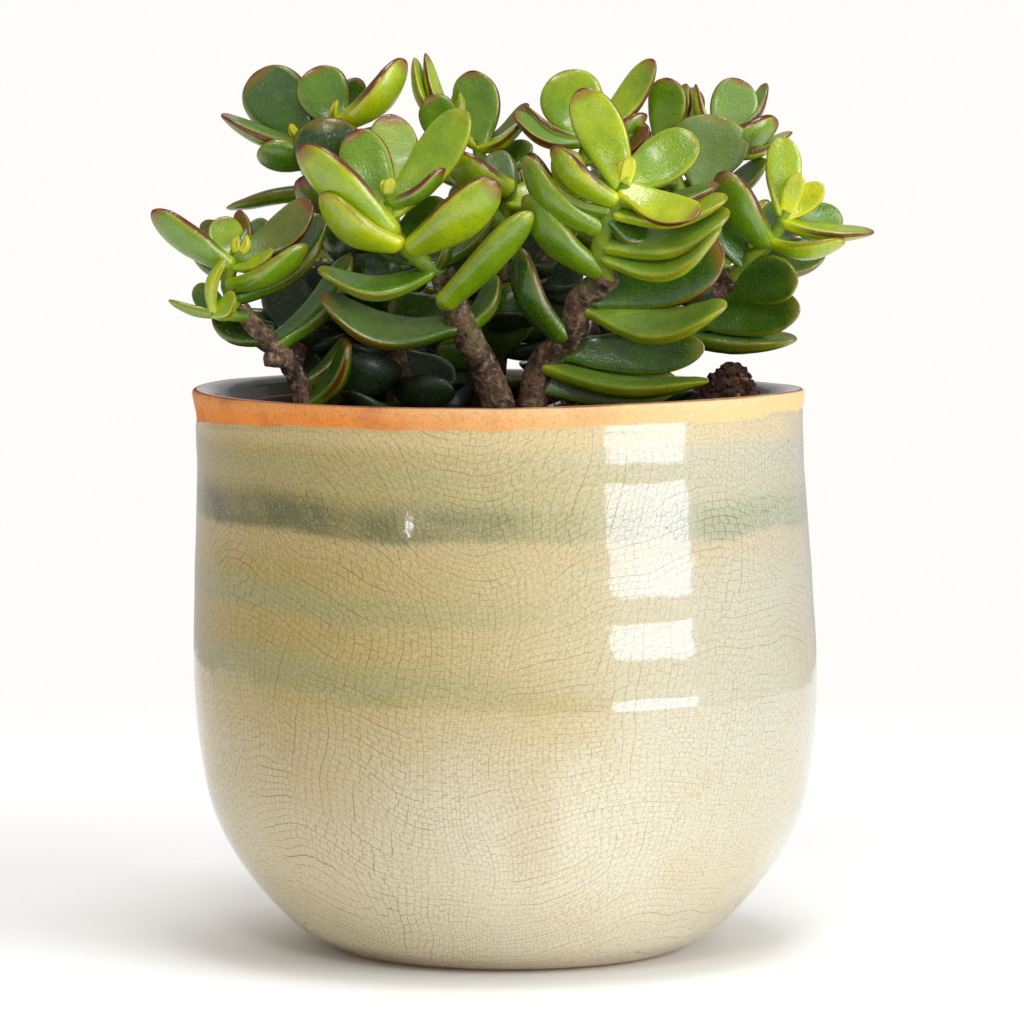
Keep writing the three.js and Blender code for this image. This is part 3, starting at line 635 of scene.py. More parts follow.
def crackle(graph, along, across, size):
    """1 on a net of cracks: long lines a cell's size apart, and short ones between them. Those are out of
    step, because every strip takes its own chance."""
    strip = across * (1 / (size * MM))
    number = graph.maths("FLOOR", strip)
    chance = graph.node("ShaderNodeTexWhiteNoise", {"noise_dimensions": "1D"}, {"W": number})
    step = along * (1 / (size * MM)) * (STEP_RANGE[0] + STEP_RANGE[1] * chance) + chance * 37.0
    sharp = CRACK_WIDTH / size
    nearest = graph.smallest(near_line(graph, strip), near_line(graph, step))
    net = 1 - graph.smooth(nearest, 0.2 * sharp, sharp)
    strong = 1 - graph.smooth(near_line(graph, strip * (1 / STRONG_EVERY)), 0.08 * sharp, 0.32 * sharp)
    return graph.largest(net * 0.75, strong)


def crack_net(graph, at):
    """1 on a crack: in some places the long ones stand upright, in others they lie level."""
    net = graph.join(graph.maths("ARCTAN2", at.x, at.y * -1.0) * WALL_RADIUS, at.z, 0.0)
    for scale, detail, roughness, bend in NET_BENDS:
        net = net + (graph.noise(at.place, scale, detail, roughness, "Color") - 0.5) * bend
    across, up, _ = graph.parts(net)
    upright = crackle(graph, up, across, CELL_SIZES[0])
    level = crackle(graph, across, up, CELL_SIZES[1])
    turn = graph.smooth(graph.noise(at.place, 42.0, 1.0), 0.485, 0.515)
    return upright + turn * (level - upright)


def iron_specks(graph, at):
    """Sparse dark specks, each well under a millimetre."""
    distance = graph.cells(at.place, SPECK_SPACING * MM)
    ragged = distance + (graph.noise(at.place, 2200.0, 1.0) - 0.5) * 0.03
    return (1 - graph.smooth(ragged, 0.016, 0.032)) * 0.75


# %% Colours of the glaze
# Colours named left are darker than the glaze's own, partly as painted shade on the side away from the window
GLAZE = {
    "middle": seen(0.86, 0.82, 0.67), "left": seen(0.75, 0.655, 0.33), "right": seen(0.80, 0.785, 0.70),
    "low": seen(0.93, 0.90, 0.80), "low_left": seen(0.84, 0.785, 0.62), "low_right": seen(0.82, 0.80, 0.70),
    "olive": seen(0.66, 0.65, 0.42), "olive_right": seen(0.74, 0.75, 0.60), "cloud": seen(0.80, 0.69, 0.43),
    "green": seen(0.66, 0.68, 0.50), "green_left": seen(0.36, 0.38, 0.14),
    "green_right": seen(0.64, 0.68, 0.57), "beige": seen(0.84, 0.73, 0.53), "cream": seen(0.92, 0.82, 0.60),
    "stain": seen(0.75, 0.66, 0.42), "crack": seen(0.56, 0.46, 0.22), "crack_left": seen(0.36, 0.31, 0.12),
    "dark_grit": seen(0.50, 0.42, 0.22), "pale_grit": seen(0.97, 0.94, 0.82),
    # inside is painted shade: the glaze in the pot is coloured as dark as a wall in shade
    "speck": seen(0.33, 0.25, 0.14), "inside": seen(0.30, 0.29, 0.27),
}
# Bands round the pot in mm: from, to, and how soft the lower and the upper edge are
BANDS = {"olive_high": (106.0, 114.0, 2.0, 3.0), "green": (97.6, 105.4, 1.3, 3.0),
         "beige": (92.0, 97.5, 3.0, 0.8), "olive_middle": (79.5, 85.5, 1.2, 4.0),
         "olive_low": (63.5, 70.0, 2.4, 4.0)}
STAIN = (5, 36)                  # x and height of a tea-coloured stain at the front
STAIN_SHARE = (0.11, 0.042)      # one over its half width and its half height


def band(graph, height, name):
    """1 in a band, with its soft edges."""
    low, high, soft_low, soft_high = BANDS[name]
    above = graph.smooth(height, low - soft_low, low + soft_low)
    return above * (1 - graph.smooth(height, high - soft_high, high + soft_high))


def ground_colour(graph, at):
    """Tan and darker at the left, partly painted shade, greyer at the right, and paler from the middle of the
    pot down.
    """
    base = graph.mix(at.right, graph.mix(at.left, GLAZE["middle"], GLAZE["left"]), GLAZE["right"])
    low = graph.smooth(at.height + (at.cloud - 0.5) * 30, 65.0, 34.0)
    pale = graph.mix(at.left, GLAZE["low_right"], GLAZE["low_left"])
    pale = graph.mix((1 - at.left) * (1 - at.right), pale, GLAZE["low"])
    base = graph.mix(low * 0.82, base, pale)
    return graph.mix(graph.smooth(at.cloud, 0.5, 0.72) * 0.35, base, GLAZE["cloud"])


def banded_colour(graph, at, base):
    """The bands over the ground, and where the green and the cream ones are."""
    left, right, cloud, patch = at.left, at.right, at.cloud, at.patch
    step = 2.2 * graph.smooth(at.across, -33.0, -50.0)
    level = at.height - step + (cloud - 0.5) * 3.0 + (patch - 0.5) * 1.6
    olive = band(graph, level, "olive_high") * (0.2 + 0.25 * left)
    olive = olive + band(graph, level, "olive_middle") * 0.7 * left
    drift = level + (cloud - 0.5) * 7
    olive = olive + band(graph, drift, "olive_low") * (0.08 + 0.72 * left) * (0.5 + cloud)
    base = graph.mix(olive, base, graph.mix(right, GLAZE["olive"], GLAZE["olive_right"]))
    green = band(graph, level + (patch - 0.5) * 4 * right, "green")
    thin = graph.smooth(at.across, 2.0, 16.0) * graph.smooth(at.across, 42.0, 34.0)
    green = green * (0.74 + 0.4 * graph.smooth(patch, 0.35, 0.65)) * (0.78 + 0.22 * left) * (1 - 0.45 * thin)
    # The green is much darker at the left, partly painted shade
    verdigris = graph.mix(left, GLAZE["green"], GLAZE["green_left"])
    base = graph.mix(green * 0.85, base, graph.mix(right, verdigris, GLAZE["green_right"]))
    beige = band(graph, level, "beige") * 0.3 + graph.smooth(level, 9.0, 1.0) * 0.4
    base = graph.mix(beige, base, GLAZE["beige"])
    cream = graph.smooth(at.height + (patch - 0.5) * 3, 116.0, 120.0) * 0.5
    return graph.mix(cream, base, GLAZE["cream"]), green, cream


def glaze_colour(graph, at):
    """All colours of the glaze and its cracks, with painted shade inside the pot."""
    base, green, cream = banded_colour(graph, at, ground_colour(graph, at))
    aside = graph.join((at.across - STAIN[0]) * STAIN_SHARE[0], (at.height - STAIN[1]) * STAIN_SHARE[1],
                       (at.cloud - 0.5) * 1.4)
    stain = graph.smooth(graph.length(aside), 1.0, 0.2) * graph.smooth(at.y, 0.0, -0.03)
    base = graph.mix(stain * 0.3, base, GLAZE["stain"])
    depth = (0.50 + 0.25 * at.left + 0.50 * green) * (0.3 + 1.4 * at.patch) * (1 - 0.8 * cream)
    cracks = crack_net(graph, at) * depth
    # The cracks are darker at the left, partly painted shade
    base = graph.mix(cracks, base, graph.mix(at.left, GLAZE["crack"], GLAZE["crack_left"]))
    base = graph.mix(graph.smooth(at.grit, 0.52, 0.30) * 0.30, base, GLAZE["dark_grit"])
    base = graph.mix(graph.smooth(at.grit, 0.5, 0.70) * 0.18, base, GLAZE["pale_grit"])
    base = graph.mix(iron_specks(graph, at), base, GLAZE["speck"])
    # Inside the pot the glaze is painted dark grey: painted shade
    return graph.mix(attribute(graph, "inside") * 0.88, base, GLAZE["inside"]), cracks


# %% Colours of the clay
# left is the clay deepened by painted shade and right the clay paled by painted light; top is paler towards
# the lip, partly painted light
CLAY = {
    "left": seen(0.99, 0.57, 0.02), "right": seen(0.94, 0.82, 0.57), "top": seen(0.96, 0.83, 0.60),
    "patch": seen(0.78, 0.42, 0.10), "grit": seen(0.62, 0.31, 0.09), "foot": seen(0.74, 0.60, 0.42),
    "lip": seen(0.55, 0.27, 0.13),
}


def clay_colour(graph, at, over, foot):
    """Orange deepened by painted shade at the left and paled by painted light at the right, and paler towards
    the lip.
    """
    # This mask is 0 at the left, where shade is painted, and 1 at the right, where light is painted
    painted_light_side = graph.smooth(at.across + (at.cloud - 0.5) * 60, -66.0, 60.0)
    clay = graph.mix(painted_light_side, CLAY["left"], CLAY["right"])
    clay = graph.mix(graph.smooth(over, 1.5, 4.5) * (0.2 + 0.5 * painted_light_side), clay, CLAY["top"])
    clay = graph.mix(graph.smooth(at.patch, 0.45, 0.7) * 0.5 * (1 - painted_light_side), clay, CLAY["patch"])
    clay = graph.mix(graph.smooth(at.grit, 0.48, 0.66) * (0.36 - 0.16 * painted_light_side), clay, CLAY["grit"])
    clay = graph.mix(foot * 0.7, clay, CLAY["foot"])
    return graph.mix(attribute(graph, "lip") * (0.2 + 1.1 * at.patch), clay, CLAY["lip"])


# %% Glaze and clay in one finish
GLAZE_TINT = (0.72, 0.80, 1.0, 1.0)      # the colour of what the glaze reflects straight on
CLAY_ROUGHNESS = 0.72


def pot_finish():
    material, graph = new_finish("crackle_glaze")
    at = pot_places(graph)
    glaze, cracks = glaze_colour(graph, at)
    over = attribute(graph, "over_edge") + (at.patch - 0.5) * 0.9 + (at.grit - 0.5) * 0.3
    foot = graph.smooth(at.height + (at.patch - 0.5) * 0.6, 1.0, 0.6)
    bare = graph.largest(graph.smooth(over, -0.14, 0.14), foot)
    glaze_relief = graph.noise(at.place, 150.0, 2.0, 0.5) * 0.8 - cracks * 0.12
    relief = glaze_relief + bare * (at.grit * 0.6 - glaze_relief)
    rough = 0.04 + 0.05 * at.patch + 0.1 * cracks
    end_finish(
        graph, Base_Color=graph.mix(bare, glaze, clay_colour(graph, at, over, foot)),
        Roughness=rough + bare * (CLAY_ROUGHNESS - rough), IOR=1.5, Specular_IOR_Level=0.9,
        Specular_Tint=GLAZE_TINT, Coat_Weight=0.25 * (1 - bare), Coat_Roughness=0.03,
        Normal=bump(graph, relief, 0.00018))
    return material


pot.data.materials.append(pot_finish())
dress(pot, "pot", "glaze")

# %% [markdown]
# ## The grow pot
# The plant stands in a thin brown plastic pot that was moulded: a tapered wall with a folded band at its
# rim and four drain holes. It is turned like the cover pot, with a round rolled edge, and the holes are
# drilled by a Boolean modifier, because they are few and the floor is flat.

# %% Sizes of the grow pot
GAP = 0.3                # room between one thing and the next
GROW_RIM_RADIUS = 60
GROW_BASE_RADIUS = 42
GROW_WALL = 1.2
GROW_TOP = 123.5
GROW_BASE = POT_FLOOR + GAP
GROW_LIP = 9             # height of the folded band
BAND_STEP = 1.2          # the wall is this much further in below the band
GROW_SIDES = 128
ROLL_RADIUS = 0.65
ROLL_TURNS = (0.2, 0.8, 1.57, 2.3, 2.9)  # places round the rolled edge, in radians
DRAIN_HOLES = 4
DRAIN_RADIUS = 4
DRAIN_RING = 27
DRILL_SIDES = 24
DRILL_SPAN = (-4, 5)     # the drill's ends, from the pot's base


def grow_pot_profile():
    """From the middle of the base up the outside, over the rolled edge and down the inside."""
    shoulder = GROW_TOP - GROW_LIP
    rim, base, wall = GROW_RIM_RADIUS, GROW_BASE_RADIUS, GROW_WALL
    line = [(0, GROW_BASE), (30, GROW_BASE), (base - 1, GROW_BASE), (base, GROW_BASE + 0.8),
            (rim - 1.5, shoulder - 0.4), (rim - 0.2, shoulder), (rim, shoulder + 0.5),
            (rim + 0.4, GROW_TOP - 4), (rim + 0.75, GROW_TOP - 1)]
    line += [(rim + 0.1 + ROLL_RADIUS * math.cos(a), GROW_TOP - 0.7 + ROLL_RADIUS * math.sin(a))
             for a in ROLL_TURNS]
    line += [(rim - 1.1, GROW_TOP - 4), (rim - 2.4, shoulder), (rim - 2.8, shoulder - 2),
             (base - wall, GROW_BASE + wall + 1), (base - wall - 1, GROW_BASE + wall),
             (30, GROW_BASE + wall), (0, GROW_BASE + wall)]
    return [(radius, height, 0) for radius, height in line]


def grow_pot_point(radius, height, kind, angles):
    """Above its middle the thin pot isn't quite round."""
    wide = radius + 0.12 * np.sin(2 * angles + 0.6) * (height > 100) * (radius > 1)
    return np.column_stack([wide * np.cos(angles), wide * np.sin(angles), height + 0 * angles])


def circle(x, y, radius, z):
    """One end of a bar of the drill, in metres."""
    turns = [k * 2 * math.pi / DRILL_SIDES for k in range(DRILL_SIDES)]
    return [((x + radius * math.cos(a)) * MM, (y + radius * math.sin(a)) * MM, z * MM) for a in turns]


def drain_drill():
    """One round bar for each drain hole."""
    points, faces = [], []
    for hole in range(DRAIN_HOLES):
        turn = (hole + 0.5) * 2 * math.pi / DRAIN_HOLES
        start = len(points)
        for end in DRILL_SPAN:
            points += circle(DRAIN_RING * math.cos(turn), DRAIN_RING * math.sin(turn), DRAIN_RADIUS,
                             GROW_BASE + end)
        low = [start + k for k in range(DRILL_SIDES)]
        high = [k + DRILL_SIDES for k in low]
        faces += [tuple(low[::-1]), tuple(high)]
        for k in range(DRILL_SIDES):
            after = (k + 1) % DRILL_SIDES
            faces.append((low[k], low[after], high[after], high[k]))
    mesh = bpy.data.meshes.new("drill")
    mesh.from_pydata(points, [], faces)
    return new_object("drill", mesh)


# %% Turn and drill the grow pot
grow_mesh, _ = turned_mesh("grow_pot", grow_pot_profile(), GROW_SIDES, grow_pot_point)
grow_pot = new_object("grow_pot", grow_mesh)
drill = drain_drill()
cut = grow_pot.modifiers.new("drain_holes", "BOOLEAN")
cut.object = drill
cut.solver = "EXACT"
settle(grow_pot)
bpy.data.objects.remove(drill)
print("grow pot:", DRAIN_HOLES, "drain holes,", len(grow_pot.data.vertices), "points")


# %% Brown plastic
def plastic_finish():
    material, graph = new_finish("brown_plastic")
    place = object_place(graph)
    scuff = graph.noise(place, 160.0, 4.0, 0.6)
    grain = graph.noise(place, 2600.0, 2.0, 0.5)
    dust = graph.smooth(graph.noise(place, 70.0, 3.0, 0.6), 0.52, 0.75)
    colour = graph.mix(scuff, seen(0.40, 0.20, 0.13), seen(0.50, 0.27, 0.18))
    colour = graph.mix(dust * 0.5, colour, seen(0.55, 0.43, 0.36))
    end_finish(graph, Base_Color=colour, Roughness=0.38 + 0.2 * scuff + 0.2 * dust, IOR=1.48,
               Normal=bump(graph, grain, 0.00005))
    return material


grow_pot.data.materials.append(plastic_finish())
dress(grow_pot, "nursery_pot", "grow_pot_plastic")

# %% [markdown]
# ## The compost
# Peat compost is a bed of dark crumbs with pale fibres and bark bits among them. A smooth lump would look
# like mud, so Geometry Nodes scatter thousands of small angular crumbs over the bed's top, and some longer
# ones for the fibres. Each crumb has only 20 faces, because there are so many of them.

# %% The bed of compost
SOIL_TOP = 120.5
SOIL_BUMP = 1.1
# Heaps of crumbs: x, y, radius, height
HEAPS = [(48.8, -2, 5, 6.4), (52.5, -2.5, 4.2, 5.4), (48, -3, 11, 7), (56.5, -5, 6, 4.5), (14, -12, 9, 3),
         (-36, 10, 12, 3), (-8, 36, 16, 3), (26, 26, 13, 4)]
SOIL_RINGS = 34
SOIL_SIDES = 96
BED_DROP = 0.9           # the bed lies this much lower than the crumbs' tops
CORNER_ROOM = 0.8        # for the corner between the grow pot's wall and base
BED_SIDE, BED_TOP = 0, 1     # kinds of points in the profile


def soil_height(x, y):
    waves = np.sin(x * 0.31 + 1) * np.cos(y * 0.27) + 0.6 * np.sin(x * 0.7 - y * 0.5)
    z = SOIL_TOP + SOIL_BUMP * waves
    for hx, hy, radius, height in HEAPS:
        z = z + height * np.exp(-2 * ((x - hx) ** 2 + (y - hy) ** 2) / radius ** 2)
    return z


def soil_point(radius, height, kind, angles):
    x, y = radius * np.cos(angles), radius * np.sin(angles)
    z = soil_height(x, y) - BED_DROP if kind == BED_TOP else height + 0 * angles
    return np.column_stack([x, y, z])


def soil_profile():
    """It fills the grow pot, with a gap all round, up to the folded band, and then goes in to the middle."""
    floor = GROW_BASE + GROW_WALL + GAP
    band_foot = GROW_TOP - GROW_LIP
    edge = GROW_RIM_RADIUS - BAND_STEP - GROW_WALL - 2 * GAP
    base = GROW_BASE_RADIUS - GROW_WALL - 3 * GAP - CORNER_ROOM
    side = [(0, floor), (30, floor), (base, floor), (edge - 0.7, band_foot - 3), (edge, band_foot)]
    top = [edge * (1 - k / SOIL_RINGS) for k in range(SOIL_RINGS + 1)]
    return [(radius, z, BED_SIDE) for radius, z in side] + [(radius, 0, BED_TOP) for radius in top]


soil_mesh, soil_points = turned_mesh("compost", soil_profile(), SOIL_SIDES, soil_point)
compost = new_object("compost", soil_mesh)
print("compost bed:", len(soil_mesh.vertices), "points, highest", round(soil_points[:, 2].max(), 1), "mm")

# %% A tree that scatters crumbs, clods and fibres
# Smallest and largest half size in metres, the input that says how many, its share, and a step of the seed
SCATTERED = [
    ((0.0003, 0.0003, 0.0003), (0.0011, 0.0011, 0.0011), "Crumbs per square metre", 1.0, 0),
    ((0.001, 0.001, 0.001), (0.0023, 0.0023, 0.0023), "Crumbs per square metre", 0.08, 10),
    ((0.0015, 0.00015, 0.00015), (0.005, 0.0003, 0.0003), "Fibres per square metre", 1.0, 20),
]
FULL_TURN = 6.283
BED_FACE = 0.06          # a face is on top where its height times the upward part of its normal is over this


def scatter(graph, bed, shape, low, high, density, seed):
    """Points on the bed's top, each with a turned and stretched copy of one small shape."""
    _, _, up = graph.parts(graph.node("GeometryNodeInputNormal"))
    _, _, height = graph.parts(graph.node("GeometryNodeInputPosition"))
    on_top = graph.node("FunctionNodeCompare", {"operation": "GREATER_THAN"}, {0: up * height, 1: BED_FACE})
    points = graph.node("GeometryNodeDistributePointsOnFaces", {}, {
        "Mesh": bed, "Selection": on_top, "Density": density, "Seed": seed})
    turn = graph.node("FunctionNodeRandomValue", {"data_type": "FLOAT_VECTOR"}, {
        0: (0, 0, 0), 1: (FULL_TURN, FULL_TURN, FULL_TURN), "Seed": seed + 1})
    rotation = graph.node("FunctionNodeEulerToRotation", {}, {0: turn})
    size = graph.node("FunctionNodeRandomValue", {"data_type": "FLOAT_VECTOR"}, {
        0: low, 1: high, "Seed": seed + 2})
    return graph.node("GeometryNodeInstanceOnPoints", {}, {
        "Points": points, "Instance": shape, "Rotation": rotation, "Scale": size})


def crumb_tree():
    graph, wires = new_tree("crumbs", {
        "Crumbs per square metre": ("Float", 420000.0), "Fibres per square metre": ("Float", 24000.0),
        "Roughness": ("Float", 0.0009), "Seed": ("Int", 11), "Compost": ("Material", None)})
    crumb = graph.node("GeometryNodeMeshIcoSphere", {}, {"Radius": 1.0, "Subdivisions": 1})
    layers = [scatter(graph, wires["Geometry"], crumb, low, high, wires[count] * share, wires["Seed"] + step)
              for low, high, count, share, step in SCATTERED]
    real = graph.together(wires["Geometry"], *layers)
    place = graph.node("GeometryNodeInputPosition")
    shake = (graph.noise(place, 650.0, 2.0, 0.6, "Color") - 0.5) * wires["Roughness"]
    rough = graph.node("GeometryNodeSetPosition", {}, {"Geometry": real, "Offset": shake})
    return end_tree(graph, graph.node("GeometryNodeSetMaterial", {}, {
        "Geometry": rough, "Material": wires["Compost"]}))


# %% Compost finish
def compost_finish():
    material, graph = new_finish("peat_compost")
    place = object_place(graph)
    crumb = graph.noise(place, 420.0, 4.0, 0.65)
    grain = graph.noise(place, 2400.0, 2.0, 0.6)
    fibre = graph.noise(place, 260.0, 2.0)
    colour = graph.mix(graph.smooth(crumb, 0.35, 0.7), seen(0.12, 0.07, 0.05), seen(0.36, 0.23, 0.15))
    colour = graph.mix(graph.smooth(fibre, 0.62, 0.74), colour, seen(0.58, 0.42, 0.29))
    colour = graph.mix(graph.smooth(grain, 0.62, 0.78) * 0.8, colour, seen(0.74, 0.62, 0.50))
    end_finish(graph, Base_Color=colour, Roughness=0.8 + 0.15 * grain, IOR=1.4,
               Normal=bump(graph, grain, 0.0002))
    return material


grow(compost, crumb_tree(), {"Compost": compost_finish()})
dress(compost, "soil", "compost")

# %% [markdown]
# ## How the plant is written down
# A jade plant carries its thick leaves in opposite pairs, each pair a quarter turn on from the one below.
# The front of this plant is written leaf by leaf, as it stands: where on the stem it grows, where its tip
# is from there, how wide it is, how its upper side is turned, and how it looks. The back follows the
# plant's own rule with seeded chance. The looks are few: age sets the green, from a yellow bud to a
# bluish old leaf, blush is the sun's red on the margin, and frost the pale bloom on the upper side. The
# shade look goes past the oldest age: it is painted shade, a near black green for leaves deep inside.

# %% Looks of leaves: age, blush and frost
LOOKS = {
    "bud": (0.0, 0.25, 0.0), "yellow": (0.08, 0.2, 0.0), "yellow_blush": (0.12, 1.0, 0.0),
    "lime": (0.30, 0.25, 0.05), "lime_blush": (0.27, 1.0, 0.0), "lime_frost": (0.42, 0.1, 0.6),
    # lime_pale's full bloom is partly painted highlight: it stands in for the bright sheen on that disc
    "lime_pale": (0.36, 1.3, 1.0), "lime_edge": (0.38, 1.3, 0.1), "shade": (1.15, 0.0, 0.0),
    "green": (0.52, 0.2, 0.1), "green_blush": (0.50, 1.0, 0.05), "green_red": (0.50, 1.5, 0.1),
    "olive_blush": (0.60, 1.85, 0.3), "rose": (0.45, 2.4, 0.1),
    "mid": (0.66, 0.2, 0.1), "mid_frost": (0.66, 0.2, 0.7), "frost_blush": (0.58, 1.1, 0.9),
    "dark": (0.82, 0.15, 0.1), "dark_blush": (0.76, 0.9, 0.1), "dark_frost": (0.80, 0.4, 0.8),
    "blue": (0.92, 0.3, 0.5), "blue_frost": (0.62, 0.25, 1.7),
}

# %% Woody stems
# For each node its paths of x, y, z and radius; the first is the main stem
WOODS = {
    "stem_left": [
        [(-44, -13, 112, 3.1), (-45.3, -13.5, 123, 2.6), (-47.6, -15, 131, 2.2), (-52, -16, 137, 2.2),
         (-56, -16, 140.8, 2.1), (-59.8, -16, 146, 2.0)],
        [(-50, -15.5, 134.5, 2.2), (-54, -17.5, 134.6, 1.7)],
        [(-48.5, -14, 132, 2.4), (-47.5, -3, 138, 2.4), (-47, 9, 142, 2.3)],
    ],
    "stem_centre_left": [
        [(-1, -6, 112, 4), (-1.8, -7, 122, 3.8), (-4.8, -9, 130.6, 3.5), (-7.9, -11, 137, 3.3),
         (-11.5, -14, 145, 3.2), (-14.9, -18, 154.5, 2.9)],
    ],
    "stem_centre_right": [
        [(5, -4, 112, 3.6), (5.5, -4, 124, 3.5), (7.2, -6, 132, 3.2), (10, -8, 136, 3), (14.5, -11, 140, 3),
         (16, -14, 147, 3), (22.5, -19, 153.5, 3.1)],
    ],
    "stem_back_centre": [
        [(-6, 10, 112, 4.2), (-5, 11, 124, 3.9), (-3, 12, 140, 3.4), (-2, 11, 155, 2.7)],
        [(-3, 12, 138, 3), (5, 10, 150, 2.7), (11.5, 8, 161, 2.4)],
        [(-3.5, 12, 136, 2.9), (-3, 22, 148, 2.6), (-2, 27, 158, 2.3)],
    ],
    "stem_right": [
        [(22, 8, 112, 4.2), (24, 8, 124, 3.9), (34, 8, 136, 3.4), (43.5, 6, 145.5, 3), (51, 4, 151.5, 2.7)],
        [(34, 8, 136, 3), (38, 10, 148, 2.7), (42, 11, 159, 2.4)],
        [(38, 10, 147, 2.4), (34, 19, 157, 2.2), (31, 25, 166, 2)],
    ],
    "stem_back_left": [
        [(-16, 20, 112, 4), (-18, 22, 124, 3.7), (-24, 30, 138, 3.1), (-32, 38, 150, 2.5)],
        [(-20, 25, 129, 3), (-14, 36, 139, 2.7), (-9, 46, 148, 2.4)],
    ],
    "stem_back_right": [
        [(14, 24, 112, 3.8), (16, 26, 124, 3.5), (22, 36, 138, 3), (24, 43, 151, 2.4)],
        [(18.5, 30, 130, 2.8), (32, 34, 141, 2.6), (45, 34, 150, 2.3)],
    ],
    "stem_upper_left": [
        [(-22, 6, 112, 4), (-24, 6, 124, 3.7), (-28, 6, 142, 3.1), (-34, 6, 157, 2.8), (-38, 6, 167, 2.6)],
        [(-29, 6, 145, 2.7), (-32, 16, 156, 2.4), (-34, 23, 166, 2.2)],
    ],
}

